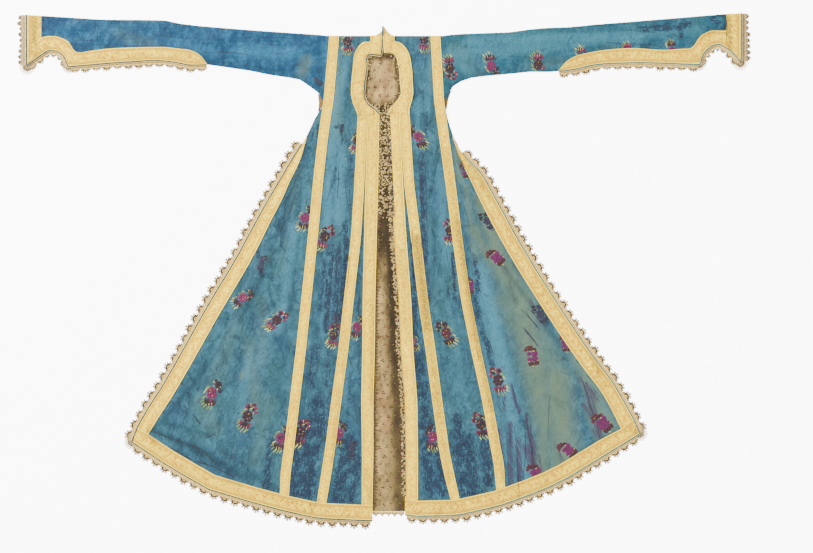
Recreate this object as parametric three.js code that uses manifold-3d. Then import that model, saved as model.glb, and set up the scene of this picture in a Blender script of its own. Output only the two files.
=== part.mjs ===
import * as THREE from 'three';
import Module from 'manifold-3d';

// A three-skirted robe laid flat on its back: X across it, +Y towards the neck, Z up
// from the floor. All sizes are in millimetres. Places on the robe are given as "out",
// the distance from its centre line, and "down", the distance below the shoulder line.
const SHOULDER_Y = 704.25;
const CLOTH = 1.2;            // one layer of lined silk
const BRAID = 1.0;            // metal-thread galloon
const LACE = 1.0;
const GAP = 0.3;              // between pieces at a seam and between layers
const LINING_Z = CLOTH + GAP;
const LINING_THICK = 1.0;
const FRONT_Z = LINING_Z + LINING_THICK + GAP;   // underside of the fronts
const SLEEVE_Z = CLOTH + GAP;                    // underside of a sleeve's upper layer
const EDGE_Z = 0.3;                              // underside of a skirt edge that drapes to the floor
const STRIPE_HALF = 15;       // half of a vertical galloon's width
const HEM_BRAID = 46;
const BACK_INSET = 22;        // the back skirt's edge inside the front's
const LACE_WIDTH = 25;
const LACE_HEADER = 8;
const LACE_PITCH = 36;        // one scallop
const SKIRT_ROWS = 16;        // rows between the waist and the hem braid
const GORE_COLUMNS = 6;

const table = (names, rows) => rows.map(row => Object.fromEntries(names.map((name, i) => [name, row[i]])));
const lerp = (a, b, t) => a + (b - a) * t;

// Value of column `name` where column `along` is `at`, straight between the rows
function read(rows, along, at, name) {
  let i = 1;
  while (i < rows.length - 1 && rows[i][along] < at) i++;
  const a = rows[i - 1], b = rows[i];
  return lerp(a[name], b[name], (at - a[along]) / (b[along] - a[along]));
}

// Rows round the neck: where the edge and the outer side of the neck braid cross each
// row, and how far down the armhole seam the row ends
const NECK_COLUMNS = ['edgeOut', 'edgeDown', 'braidOut', 'braidDown', 'seamDown'];
const SKIRT_COLUMNS = ['down', 'edge', 'braid', 'innerSeam'];
const SIDES = {
  left: {
    sign: -1,
    neck: table(NECK_COLUMNS, [
      [0.5, 0, 38, 0, 0],
      [1.5, 22, 39.5, 16.5, 8],
      [6, 59, 59, 19, 23],
      [45, 59.5, 82, 46, 56],
      [48.5, 98, 91, 100, 96],
      [55, 150, 95.5, 145, 134],
      [55.5, 184, 95, 183, 168],
      [46, 203, 90, 203, 194],
      [26, 219, 83, 220, 216],
      [10.5, 234, 76, 238, 246],
    ]),
    skirt: table(SKIRT_COLUMNS, [
      [234, 10.5, 45.5, 61],
      [432, 14, 53, 70],
      [612, 18.6, 57, 81.6],
      [792, 22.8, 61, 102.6],
      [942, 24, 62, 118.8],
      [1092, 28.5, 65.5, 139.5],
      [1242, 28.5, 63, 159],
      [1392, 31, 64, 182.4],
      [1460, 31.5, 64, 192],
    ]),
    outerSeam: table(['down', 'out'], [
      [0, 146], [192, 163], [282, 177], [432, 194], [612, 211],
      [942, 246], [1092, 264], [1242, 282], [1383, 301.5], [1460, 312],
    ]),
    sideEdge: table(['down', 'out'], [
      [216, 186], [246, 203], [284, 216], [312, 236], [350, 259], [514, 356], [670, 440],
      [809, 524], [969, 613], [1054, 662], [1092, 688], [1138, 715.5], [1175, 736], [1217, 752],
    ]),
    sideBraid: table(['down', 'width'], [
      [246, 2], [305, 3], [340, 19], [396, 23], [470, 34], [602, 40], [765, 42], [1217, 40],
    ]),
    hem: table(['out', 'down'], [
      [31.5, 1452], [141, 1450], [212, 1442], [309, 1420], [398, 1396],
      [524, 1358], [642, 1290], [752, 1217],
    ]),
    slitDown: 322,
    innerCorner: { out: 703, down: 1194 },
    collar: [[0.5, -0.4], [0.6, -30], [2.4, -31.5], [4, -14], [19.5, -1.5], [37.5, -0.4]],
    underarm: [[164, 186], [198, 160], [195.5, 172], [192.6, 203], [196, 236], [186, 232], [168, 222]],
    sleeveTop: table(['out', 'down'], [
      [146, 0], [249, -7.5], [399, -18], [549, -30], [609, -37.5], [654, -46.5], [699, -48],
      [849, -49.5], [1008, -60], [1066, -63],
    ]),
    sleeveLower: table(['out', 'down'], [
      [163, 194], [178, 193], [195, 170], [219, 153], [249, 132], [279, 126], [339, 117], [399, 105],
      [459, 96], [528, 86], [552, 86], [581, 86], [607, 81], [653, 74], [694, 73], [767, 77], [839, 82],
      [880, 86], [918, 89], [943, 91.5], [948, 78], [956, 62], [968, 50], [985, 43.5], [1006, 43.5], [1026, 56],
      [1046, 71], [1067, 88],
    ]),
    sleeveBraid: table(['out', 'down'], [
      [163, 164], [459, 80], [528, 83], [555, 52], [576, 43], [653, 34], [746, 34], [839, 40],
      [917, 50.5], [928, 34], [943, 17], [962, 6], [985, 1], [1006, 1], [1025, 5], [1067, 84],
    ]),
    cuffOut: 1024, slitOut: 528, notchOut: 943,
  },
  right: {
    sign: 1,
    neck: table(NECK_COLUMNS, [
      [0.5, 0, 35.5, 0, 0],
      [1, 22, 36, 16, 8],
      [3, 51, 50, 20, 23],
      [33, 56, 76, 49, 56],
      [46, 92, 86, 92, 96],
      [50.5, 142, 89.7, 142, 134],
      [52, 178, 90.6, 176, 168],
      [40, 196, 86, 198, 194],
      [23, 214, 81, 216, 216],
      [12, 231, 80, 238, 246],
    ]),
    skirt: table(SKIRT_COLUMNS, [
      [231, 12, 50, 65],
      [432, 21, 60, 77],
      [612, 30, 71, 99.3],
      [792, 43.5, 85, 120.3],
      [942, 49.5, 91, 142.5],
      [1092, 61.5, 103, 162.3],
      [1242, 64.5, 105, 183.6],
      [1392, 66, 105, 214.5],
      [1460, 66, 105, 228],
    ]),
    outerSeam: table(['down', 'out'], [
      [0, 157], [192, 168], [282, 180], [432, 201], [612, 223.5], [792, 249],
      [942, 279], [1092, 312], [1242, 339], [1368, 361.5], [1460, 378],
    ]),
    sideEdge: table(['down', 'out'], [
      [216, 188], [246, 193], [276, 201], [303, 211], [336, 224], [351, 233], [371, 257], [392, 280.5], [493, 339],
      [611, 402.6], [716, 465.6], [821, 533], [910, 592], [969, 634], [1047, 693], [1144, 747.6],
      [1192, 769.5],
    ]),
    sideBraid: table(['down', 'width'], [
      [246, 2], [330, 3], [365, 18], [398, 34], [450, 41], [530, 44], [1192, 43],
    ]),
    hem: table(['out', 'down'], [
      [66, 1434], [145.5, 1444], [238, 1433], [348, 1408], [424, 1381],
      [529, 1339], [617, 1285], [769.5, 1192],
    ]),
    slitDown: 350,
    innerCorner: { out: 713, down: 1178 },
    collar: [[0.5, -0.4], [0.6, -29], [3, -28], [9, -19], [18, -9], [25, -2.5], [35, -0.4]],
    underarm: [[170, 186], [212, 140], [208, 154], [204, 167.4], [196.5, 188.4], [191.5, 219], [180, 236], [174, 222]],
    sleeveTop: table(['out', 'down'], [
      [157, 0], [231, -6], [381, -12], [471, -24], [561, -27], [651, -36], [771, -45],
      [843, -51], [951, -60], [1026, -66], [1072, -68],
    ]),
    sleeveLower: table(['out', 'down'], [
      [168, 194], [183, 188], [210, 152], [233, 137], [265, 126], [305, 121], [381, 114], [441, 108],
      [501, 108], [527, 106], [552, 102], [575, 98.5], [623, 87.6], [736, 79.5], [853, 81], [897, 83], [922, 84], [949, 85], [955, 66],
      [963, 49], [974, 38], [985, 29.5], [1012, 25], [1036, 39], [1055, 56], [1072, 76],
    ]),
    sleeveBraid: table(['out', 'down'], [
      [168, 164], [441, 92], [527, 102], [553, 74], [591, 53], [666, 45], [746, 36], [853, 42],
      [923, 37], [935, 17], [955, -3], [975, -13], [991, -17.5], [1012, -15.5], [1029, -16], [1072, 71],
    ]),
    cuffOut: 1029, slitOut: 527, notchOut: 949,
  },
};

// Soft folds: each runs from one place to another and stands `high` above the cloth,
// with `half` as its half width
const FOLD_COLUMNS = ['out', 'down', 'toOut', 'toDown', 'half', 'high'];
const FRONT_FOLDS = {
  left: table(FOLD_COLUMNS, [
    [225, 300, 268, 600, 34, 5.5],
    [205, 400, 330, 820, 36, 4],
    [300, 560, 520, 1060, 52, 4.5],
    [290, 800, 400, 1250, 48, 4],
    [420, 700, 640, 1130, 50, 3.5],
    [245, 930, 300, 1350, 34, 3],
    [105, 480, 165, 1120, 30, 3],
    [32, 700, 60, 1250, 26, 2.5],
    [105, 70, 140, 260, 30, 3],
  ]),
  right: table(FOLD_COLUMNS, [
    [205, 320, 300, 620, 34, 5],
    [225, 480, 400, 960, 42, 4.5],
    [350, 560, 560, 1000, 52, 4],
    [330, 860, 440, 1300, 48, 4],
    [480, 780, 680, 1130, 50, 3.5],
    [290, 900, 345, 1330, 32, 3],
    [110, 330, 190, 980, 30, 3],
    [65, 640, 95, 1300, 28, 2.5],
    [105, 60, 140, 250, 30, 3],
  ]),
};
const SLEEVE_FOLDS = table(FOLD_COLUMNS, [
  [190, 20, 330, 70, 32, 4],
  [200, 120, 420, 60, 34, 3.5],
  [430, 10, 600, 20, 30, 3],
  [480, 70, 700, 10, 34, 3],
  [700, -10, 900, 0, 34, 3],
  [860, -35, 990, -30, 26, 2.5],
]);

const wasm = await Module();
wasm.setup();
const { CrossSection } = wasm;

const place = (side, out, down) => ({ x: side.sign * out, y: SHOULDER_Y - down });

// Height of the folds at a place, in both directions fading to nothing
function relief(folds, out, down) {
  let height = 0;
  for (const f of folds) {
    const dx = f.toOut - f.out, dy = f.toDown - f.down;
    const along = ((out - f.out) * dx + (down - f.down) * dy) / (dx * dx + dy * dy);
    if (along <= 0 || along >= 1) continue;
    const away = Math.abs((out - f.out) * dy - (down - f.down) * dx) / Math.hypot(dx, dy) / f.half;
    if (away < 1) height = Math.max(height, f.high * Math.sin(Math.PI * along) * (0.5 + 0.5 * Math.cos(Math.PI * away)));
  }
  return height;
}

// Points of one front: rows run from the centre edge out, columns from shoulder to hem.
// Columns: 0 edge, 1 centre braid, 2-4 inner stripe, 5-6 panel, 7-9 outer stripe,
// then the gore, the side braid and the side edge.
const COLUMN = { edge: 0, centreBraid: 1, innerIn: 2, innerSeam: 3, innerOut: 4, outerIn: 7, outerSeam: 8, outerOut: 9 };
COLUMN.sideBraid = COLUMN.outerOut + GORE_COLUMNS;
COLUMN.side = COLUMN.sideBraid + 1;
const NECK_ROWS = 9;
const ARMPIT_ROW = 7;
const HEM_ROW = NECK_ROWS + SKIRT_ROWS;
const LAST_ROW = HEM_ROW + 1;

function fillBetween(row, from, to) {
  for (let c = from + 1; c < to; c++) {
    const t = (c - from) / (to - from);
    row[c] = { out: lerp(row[from].out, row[to].out, t), down: lerp(row[from].down, row[to].down, t) };
  }
}

function setStripe(row, side, down) {
  const seam = read(side.outerSeam, 'down', down, 'out');
  row[COLUMN.outerIn] = { out: seam - STRIPE_HALF, down };
  row[COLUMN.outerSeam] = { out: seam, down };
  row[COLUMN.outerOut] = { out: seam + STRIPE_HALF, down };
}

// Where a column that follows `outAt(down)` crosses the hem
function hemCrossing(side, outAt) {
  let down = 1400;
  for (let n = 0; n < 30; n++) down = read(side.hem, 'out', outAt(down), 'down');
  return { out: outAt(down), down };
}

function frontPoints(side) {
  const rows = [];
  const edgeAt = down => read(side.skirt, 'down', down, 'edge');
  const braidAt = down => read(side.skirt, 'down', down, 'braid');
  const innerAt = down => read(side.skirt, 'down', down, 'innerSeam');
  const outerAt = down => read(side.outerSeam, 'down', down, 'out');
  const sideAt = down => read(side.sideEdge, 'down', down, 'out');

  for (let r = 0; r <= NECK_ROWS; r++) {
    const n = side.neck[r], row = [];
    row[COLUMN.edge] = { out: n.edgeOut, down: n.edgeDown };
    row[COLUMN.innerOut] = { out: n.braidOut, down: n.braidDown };
    fillBetween(row, COLUMN.edge, COLUMN.innerOut);
    setStripe(row, side, n.seamDown);
    fillBetween(row, COLUMN.innerOut, COLUMN.outerIn);
    rows.push(row);
  }

  // The hem: every column ends on it, and the braid's upper edge runs along it
  const last = [], above = [];
  const corner = side.sideEdge.at(-1);
  last[COLUMN.edge] = hemCrossing(side, edgeAt);
  last[COLUMN.centreBraid] = hemCrossing(side, braidAt);
  last[COLUMN.innerIn] = hemCrossing(side, d => innerAt(d) - STRIPE_HALF);
  last[COLUMN.innerSeam] = hemCrossing(side, innerAt);
  last[COLUMN.innerOut] = hemCrossing(side, d => innerAt(d) + STRIPE_HALF);
  last[COLUMN.outerIn] = hemCrossing(side, d => outerAt(d) - STRIPE_HALF);
  last[COLUMN.outerSeam] = hemCrossing(side, outerAt);
  last[COLUMN.outerOut] = hemCrossing(side, d => outerAt(d) + STRIPE_HALF);
  last[COLUMN.sideBraid] = { out: side.innerCorner.out + 18, down: 0 };
  fillBetween(last, COLUMN.innerOut, COLUMN.outerIn);
  fillBetween(last, COLUMN.outerOut, COLUMN.sideBraid);
  for (const p of last) p.down = read(side.hem, 'out', p.out, 'down');
  for (const p of last) {
    const slope = (read(side.hem, 'out', p.out + 15, 'down') - read(side.hem, 'out', p.out - 15, 'down')) / 30;
    const length = Math.hypot(1, slope);
    above.push({ out: p.out + HEM_BRAID * slope / length, down: p.down - HEM_BRAID / length });
  }
  above[COLUMN.edge] = { out: edgeAt(last[0].down - HEM_BRAID), down: last[0].down - HEM_BRAID };
  above[COLUMN.centreBraid].out = braidAt(above[COLUMN.centreBraid].down);
  above[COLUMN.sideBraid] = { ...side.innerCorner };
  last[COLUMN.side] = { out: corner.out, down: corner.down };
  const sideDown = corner.down - HEM_BRAID * 0.92;
  above[COLUMN.side] = { out: sideAt(sideDown), down: sideDown };

  // The skirt: each seam is shared out evenly between the waist and the hem braid
  const start = rows[NECK_ROWS];
  start[COLUMN.centreBraid] = { out: braidAt(start[0].down), down: start[0].down + 1.5 };
  start[COLUMN.innerIn] = { out: braidAt(start[0].down) + 0.6, down: start[0].down + 1.5 };
  start[COLUMN.innerSeam] = { out: innerAt(start[0].down + 3), down: start[0].down + 3 };
  start[COLUMN.side] = { out: sideAt(246), down: 246 };
  start[COLUMN.sideBraid] = { out: sideAt(246) - 2, down: 246 };
  fillBetween(start, COLUMN.outerOut, COLUMN.sideBraid);
  const seamDown = (c, t) => lerp(start[c].down, above[c].down, t);
  for (let r = 1; r <= SKIRT_ROWS; r++) {
    const t = r / SKIRT_ROWS, row = [];
    if (r === SKIRT_ROWS) { rows.push(above); break; }
    let d = seamDown(COLUMN.edge, t);
    row[COLUMN.edge] = { out: edgeAt(d), down: d };
    d = seamDown(COLUMN.centreBraid, t);
    row[COLUMN.centreBraid] = { out: braidAt(d), down: d };
    d = seamDown(COLUMN.innerSeam, t);
    row[COLUMN.innerSeam] = { out: innerAt(d), down: d };
    row[COLUMN.innerOut] = { out: innerAt(d) + STRIPE_HALF, down: d };
    row[COLUMN.innerIn] = { out: Math.max(innerAt(d) - STRIPE_HALF, row[COLUMN.centreBraid].out + 0.6), down: d };
    setStripe(row, side, seamDown(COLUMN.outerSeam, t));
    d = seamDown(COLUMN.side, t);
    const out = sideAt(d), width = read(side.sideBraid, 'down', d, 'width');
    const slope = (sideAt(d + 15) - sideAt(d - 15)) / 30, length = Math.hypot(1, slope);
    row[COLUMN.side] = { out, down: d };
    row[COLUMN.sideBraid] = { out: out - width / length, down: d + width * slope / length };
    fillBetween(row, COLUMN.innerOut, COLUMN.outerIn);
    fillBetween(row, COLUMN.outerOut, COLUMN.sideBraid);
    rows.push(row);
  }
  rows.push(last);

  // One more row of the gore reaches up to the armpit
  const tip = rows[NECK_ROWS - 1];
  tip[COLUMN.side] = { out: sideAt(216), down: 219 };
  tip[COLUMN.sideBraid] = { out: sideAt(216) - 1, down: 218.5 };
  fillBetween(tip, COLUMN.outerOut, COLUMN.sideBraid);
  return rows;
}

// The fronts lie on the lining, and their side and hem edges drape to the floor
function liftFront(side, name, rows) {
  rows.forEach((row, r) => row.forEach((p, c) => {
    Object.assign(p, place(side, p.out, p.down));
    const flat = FRONT_Z + CLOTH;
    p.z = flat + relief(FRONT_FOLDS[name], p.out, p.down);
    if (c === COLUMN.edge) p.z = flat;
    const draped = EDGE_Z + CLOTH;
    if (c === COLUMN.side && r > NECK_ROWS) p.z = lerp(flat, draped, Math.min(1, Math.max(0, (p.down - side.slitDown) / 60)));
    if (r === LAST_ROW) p.z = lerp(flat, draped, Math.min(1, Math.max(0, (c - COLUMN.innerIn) / 3)));
  }));
  return rows;
}

// A closed wall on some cells of a grid of points, from `low` to `high` above them. Its
// outline stands back half a seam gap.
function wallOn(rows, hasCell, low, high) {
  const used = new Map(), cells = [];
  const isCell = (r, c) => r >= 0 && c >= 0 && r + 1 < rows.length && c + 1 < rows[r].length && c + 1 < rows[r + 1].length && hasCell(r, c);
  for (let r = 0; r + 1 < rows.length; r++) {
    for (let c = 0; c + 1 < rows[r].length; c++) if (isCell(r, c)) cells.push([r, c]);
  }
  const keyOf = (r, c) => r * 1000 + c;
  const flip = Math.sign(area(cells[0]));
  function area([r, c]) {
    const a = rows[r][c], b = rows[r + 1][c], d = rows[r][c + 1];
    return (b.x - a.x) * (d.y - a.y) - (b.y - a.y) * (d.x - a.x);
  }
  const rim = new Map();
  for (const [r, c] of cells) {
    for (const k of [[r, c], [r + 1, c], [r + 1, c + 1], [r, c + 1]]) used.set(keyOf(...k), rows[k[0]][k[1]]);
    const sides = [[[r, c], [r + 1, c], [r, c - 1]], [[r + 1, c], [r + 1, c + 1], [r + 1, c]],
      [[r + 1, c + 1], [r, c + 1], [r, c + 1]], [[r, c + 1], [r, c], [r - 1, c]]];
    for (const [a, b, beyond] of sides) if (!isCell(...beyond)) rim.set(keyOf(...a), keyOf(...b));
  }
  const moved = new Map([...used].map(([k, p]) => [k, { x: p.x, y: p.y, z: p.z }]));
  for (const [a, b] of rim) {
    const next = rim.get(b), p = used.get(a), q = used.get(b), s = used.get(next);
    const n1 = inward(p, q, flip), n2 = inward(q, s, flip), m = moved.get(b);
    const scale = GAP / 2 / Math.max(0.35, 1 + n1.x * n2.x + n1.y * n2.y);
    m.x += (n1.x + n2.x) * scale;
    m.y += (n1.y + n2.y) * scale;
  }
  const index = new Map([...used.keys()].map((k, i) => [k, i])), count = index.size;
  const spots = [];
  for (const k of index.keys()) { const p = moved.get(k); spots.push(p.x, p.y, p.z + high); }
  for (const k of index.keys()) { const p = moved.get(k); spots.push(p.x, p.y, p.z + low); }
  const faces = [];
  const face = (a, b, c) => faces.push(...(flip > 0 ? [a, b, c] : [a, c, b]));
  for (const [r, c] of cells) {
    const [a, b, d, e] = [keyOf(r, c), keyOf(r + 1, c), keyOf(r + 1, c + 1), keyOf(r, c + 1)].map(k => index.get(k));
    face(a, b, d); face(a, d, e);
    face(a + count, d + count, b + count); face(a + count, e + count, d + count);
  }
  for (const [a, b] of rim) {
    const i = index.get(a), j = index.get(b);
    face(i, i + count, j + count); face(i, j + count, j);
  }
  return solid(spots, faces);
}

function inward(p, q, flip) {
  const dx = q.x - p.x, dy = q.y - p.y, length = Math.hypot(dx, dy);
  return { x: -dy / length * flip, y: dx / length * flip };
}

function solid(spots, faces) {
  const geometry = new THREE.BufferGeometry();
  geometry.setAttribute('position', new THREE.Float32BufferAttribute(spots, 3));
  geometry.setIndex(faces);
  geometry.computeVertexNormals();
  return geometry;
}

// A flat sheet of an outline, between two heights
function sheet(outline, low, high) {
  const mesh = outline.simplify(0.05).extrude(high - low).translate([0, 0, low]).getMesh();
  const spots = [];
  for (let i = 0; i < mesh.numVert; i++) spots.push(...mesh.vertProperties.slice(i * mesh.numProp, i * mesh.numProp + 3));
  return solid(spots, [...mesh.triVerts]);
}

function outlineOf(points) {
  const ring = points.map(p => [p.x, p.y]);
  const turn = ring.reduce((sum, a, i) => sum + a[0] * ring[(i + 1) % ring.length][1] - ring[(i + 1) % ring.length][0] * a[1], 0);
  return new CrossSection([turn < 0 ? ring.reverse() : ring]);
}

// Scalloped lace along a line, to its left or right: a header, then one fan to a scallop
// with one opening through it, unless the lace is too close for that
function lace(line, turn, width, { corners = [], open = true } = {}) {
  const lengths = [0];
  for (let i = 1; i < line.length; i++) lengths.push(lengths[i - 1] + Math.hypot(line[i].x - line[i - 1].x, line[i].y - line[i - 1].y));
  const total = lengths.at(-1), count = Math.round(total / LACE_PITCH), pitch = total / count;
  const spot = s => {
    let i = 1;
    while (i < lengths.length - 1 && lengths[i] < s) i++;
    const t = (s - lengths[i - 1]) / (lengths[i] - lengths[i - 1]);
    return { x: lerp(line[i - 1].x, line[i].x, t), y: lerp(line[i - 1].y, line[i].y, t) };
  };
  const at = (s, n) => {
    const a = spot(Math.max(0, s - 7)), b = spot(Math.min(total, s + 7)), p = spot(s);
    const length = Math.hypot(b.x - a.x, b.y - a.y);
    return { x: p.x - (b.y - a.y) / length * n * turn, y: p.y + (b.x - a.x) / length * n * turn };
  };
  const fans = [], holes = [];
  for (let i = 0; i < count; i++) {
    const s = i * pitch, e = s + pitch, lap = 0.2;
    fans.push(outlineOf([
      [s - lap, GAP], [s + pitch / 2, GAP], [e + lap, GAP], [e + lap, LACE_HEADER],
      ...(open ? [[e - pitch * 0.14, width * 0.78], [s + pitch / 2, width], [s + pitch * 0.14, width * 0.78]]
        : [[e - pitch * 0.25, width], [s + pitch * 0.25, width]]), [s - lap, LACE_HEADER],
    ].map(([a, n]) => at(Math.min(total, Math.max(0, a)), n))));
    if (open) holes.push(outlineOf([
      [s + pitch * 0.27, LACE_HEADER + 2], [e - pitch * 0.27, LACE_HEADER + 2],
      [e - pitch * 0.34, width - 5], [s + pitch * 0.34, width - 5],
    ].map(([a, n]) => at(a, n))));
  }
  for (const p of corners) fans.push(CrossSection.circle(width * 0.93, 10).translate([p.x, p.y]));
  return open ? CrossSection.union(fans).subtract(CrossSection.union(holes)) : CrossSection.union(fans);
}

const robe = new THREE.Group();
robe.name = 'robe';
const COLOURS = { silk: 0x4a8ea8, braid: 0xe6cd8b, lace: 0xb9a06a, lining: 0xcdbb98, cotton: 0xb98f55 };
function add(name, geometry, colour) {
  const mesh = new THREE.Mesh(geometry, new THREE.MeshStandardMaterial({ color: COLOURS[colour], roughness: 0.8 }));
  mesh.name = name;
  robe.add(mesh);
}

const outlines = [];
const grids = {};
for (const [name, side] of Object.entries(SIDES)) {
  const rows = liftFront(side, name, frontPoints(side));
  grids[name] = rows;
  const C = COLUMN;
  const skirt = r => r >= NECK_ROWS;

  add(`${name}_front_panel`, wallOn(rows, (r, c) => c < C.outerSeam && (skirt(r) ? c >= C.innerSeam : true), -CLOTH, 0), 'silk');
  add(`${name}_centre_gore`, wallOn(rows, (r, c) => skirt(r) && c < C.innerSeam, -CLOTH, 0), 'silk');
  add(`${name}_side_gore`, wallOn(rows, (r, c) => r >= NECK_ROWS - 1 && c >= C.outerSeam, -CLOTH, 0), 'silk');

  const braids = {
    neck: (r, c) => !skirt(r) && c < C.innerOut,
    centre: (r, c) => skirt(r) && r < HEM_ROW && c < C.centreBraid,
    inner: (r, c) => skirt(r) && r < HEM_ROW && c >= C.innerIn && c < C.innerOut,
    outer: (r, c) => r < HEM_ROW && c >= C.outerIn && c < C.outerOut,
    side: (r, c) => r > NECK_ROWS && r < HEM_ROW && c === C.sideBraid,
    hem: r => r === HEM_ROW,
  };
  for (const [part, cells] of Object.entries(braids)) add(`${name}_${part}_braid`, wallOn(rows, cells, GAP, GAP + BRAID), 'braid');
  add(`${name}_collar`, sheet(outlineOf(side.collar.map(([out, down]) => place(side, out, down))), FRONT_Z, FRONT_Z + CLOTH + GAP + BRAID), 'braid');

  // Sleeve: columns run out along it, rows across it from the fold to the lower edge
  const seam = rows.slice(0, ARMPIT_ROW + 1).map(row => row[C.outerSeam]);
  const armhole = rows.slice(0, ARMPIT_ROW + 1).map(row => row[C.outerOut]);
  const share = side.neck.slice(0, ARMPIT_ROW + 1).map(n => n.seamDown / side.neck[ARMPIT_ROW].seamDown);
  const stations = [...side.sleeveLower.map(p => p.out).filter(out => out > armhole[0].out + 30), side.cuffOut].sort((a, b) => a - b);
  const columns = [seam.map(p => ({ ...p })), armhole.map(p => ({ ...p }))];
  for (const out of stations) {
    const top = read(side.sleeveTop, 'out', out, 'down'), lower = read(side.sleeveLower, 'out', out, 'down');
    const braid = read(side.sleeveBraid, 'out', out, 'down');
    const open = Math.min(1, Math.max(0, (out - 400) / (side.slitOut - 400)));
    const inner = lerp(lerp(top, lower, share[ARMPIT_ROW - 1]), braid, open);
    columns.push(share.map((f, j) => {
      const down = j === ARMPIT_ROW ? lower : lerp(top, inner, f / share[ARMPIT_ROW - 1]);
      return { out, down };
    }));
  }
  columns.forEach((column, i) => column.forEach((p, j) => {
    Object.assign(p, place(side, p.out, p.down));
    const drop = Math.min(1, Math.max(0, (p.out - armhole[0].out) / 90));
    const rest = SLEEVE_Z + CLOTH;
    if (i > 1) p.z = lerp(FRONT_Z + CLOTH, rest, drop) + (j > 0 && j < ARMPIT_ROW ? relief(SLEEVE_FOLDS, p.out, p.down) : 0);
  }));
  const cuffColumn = columns.findIndex(column => column[0].out === side.cuffOut);
  const slitColumn = columns.findIndex(column => column[0].out >= side.slitOut);
  add(`${name}_sleeve_front`, wallOn(columns, () => true, -CLOTH, 0), 'silk');
  add(`${name}_cuff_braid`, wallOn(columns, (i, j) => i >= cuffColumn && j < ARMPIT_ROW - 1, GAP, GAP + BRAID), 'braid');
  add(`${name}_slit_braid`, wallOn(columns, (i, j) => i >= slitColumn && j === ARMPIT_ROW - 1, GAP, GAP + BRAID), 'braid');
  const sleeve = outlineOf([...columns.map(column => column[0]), ...columns.at(-1).slice(1), ...columns.map(column => column.at(-1)).reverse().slice(1), ...seam.slice(1, -1).reverse()]);
  add(`${name}_sleeve_back`, sheet(sleeve.offset(-GAP / 2, 'Miter', 2), 0, CLOTH), 'silk');

  const notchColumn = columns.findIndex(column => column[0].out === side.notchOut);
  const lower = columns.map(column => column.at(-1));
  const cuff = columns.at(-1).slice().reverse();
  const cuffLace = CrossSection.union([
    lace(lower.slice(slitColumn, notchColumn + 1), -side.sign, LACE_WIDTH - 1, { corners: [lower[notchColumn]] }),
    lace(lower.slice(notchColumn), -side.sign, LACE_WIDTH - 3),
    lace(cuff, -side.sign, LACE_WIDTH + 5, { corners: [{ x: cuff[0].x, y: cuff[0].y - 4 }] }),
  ]).subtract(sleeve.offset(GAP, 'Miter', 2));
  add(`${name}_cuff_lace`, sheet(cuffLace, 0, LACE), 'lace');

  // Lace of the skirt on the floor, and of the front edge and the neck on the lining
  const front = outlineOf([...rows.slice(0, NECK_ROWS - 1).map(row => row[C.outerSeam]), ...rows.slice(NECK_ROWS - 1).map(row => row[C.side]),
    ...rows.at(-1).slice(0, -1).reverse(), ...rows.slice(0, -1).map(row => row[C.edge]).reverse()]);
  outlines.push(front);
  const clear = front.offset(GAP, 'Miter', 2);
  const slitRow = rows.findIndex((row, r) => r > NECK_ROWS && row[C.side].down > side.slitDown);
  const sideLace = lace(rows.slice(slitRow).map(row => row[C.side]), side.sign, LACE_WIDTH, { corners: [rows.at(-1)[C.side]] }).subtract(clear);
  const hemLace = lace(rows.at(-1), -side.sign, LACE_WIDTH - 1).subtract(clear).subtract(sideLace.offset(GAP, 'Miter', 2));
  add(`${name}_side_lace`, sheet(sideLace, 0, LACE), 'lace');
  add(`${name}_hem_lace`, sheet(hemLace, 0, LACE), 'lace');
  const half = outlineOf([[-0.3, -40], [-0.3, 234], [-4, 492], [-5.5, 612], [-10, 792], [-17, 1092], [-18, 1500], [300, 1500], [300, -40]]
    .map(([out, down]) => (side.sign < 0 ? place(side, out, down) : place(side, out < 0 ? -out + 0.1 : out, down))));
  const frontLace = lace(rows.slice(2).map(row => row[C.edge]), -side.sign, LACE_WIDTH - 6, { open: false }).intersect(half).subtract(clear);
  add(`${name}_front_lace`, sheet(frontLace, FRONT_Z, FRONT_Z + LACE), 'lace');
  side.sleeve = sleeve;
}

// The back: flush with the fronts down to the slits, then inside them
const centre = outlineOf([...grids.left.map(row => row[0]), ...grids.right.map(row => row[0]).reverse()]);
const hemBand = outlineOf([[-100, 1426], [130, 1426], [130, 1600], [-100, 1600]].map(([x, down]) => ({ x, y: SHOULDER_Y - down })));
const all = CrossSection.union([...outlines.map(o => o.offset(0.5, 'Miter', 2)), centre]);
const bodice = all.intersect(outlineOf([[-400, -60], [400, -60], [400, 330], [-400, 330]].map(([x, down]) => ({ x, y: SHOULDER_Y - down }))));
const collars = CrossSection.union(Object.values(SIDES).map(side => outlineOf(side.collar.map(([out, down]) => place(side, out < 1 ? 0 : out, down > -1 ? 2 : down)))));
const hemTab = outlineOf([[-70, 1300], [104, 1300], [104, 1426], [-70, 1426]].map(([x, down]) => ({ x, y: SHOULDER_Y - down })));
const back = CrossSection.union([all.offset(-BACK_INSET, 'Miter', 2), bodice, collars, hemTab]).subtract(hemBand)
  .subtract(CrossSection.union(Object.values(SIDES).map(side => side.sleeve.offset(GAP / 2, 'Miter', 2))));
add('back_panel', sheet(back, 0, CLOTH), 'silk');

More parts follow.
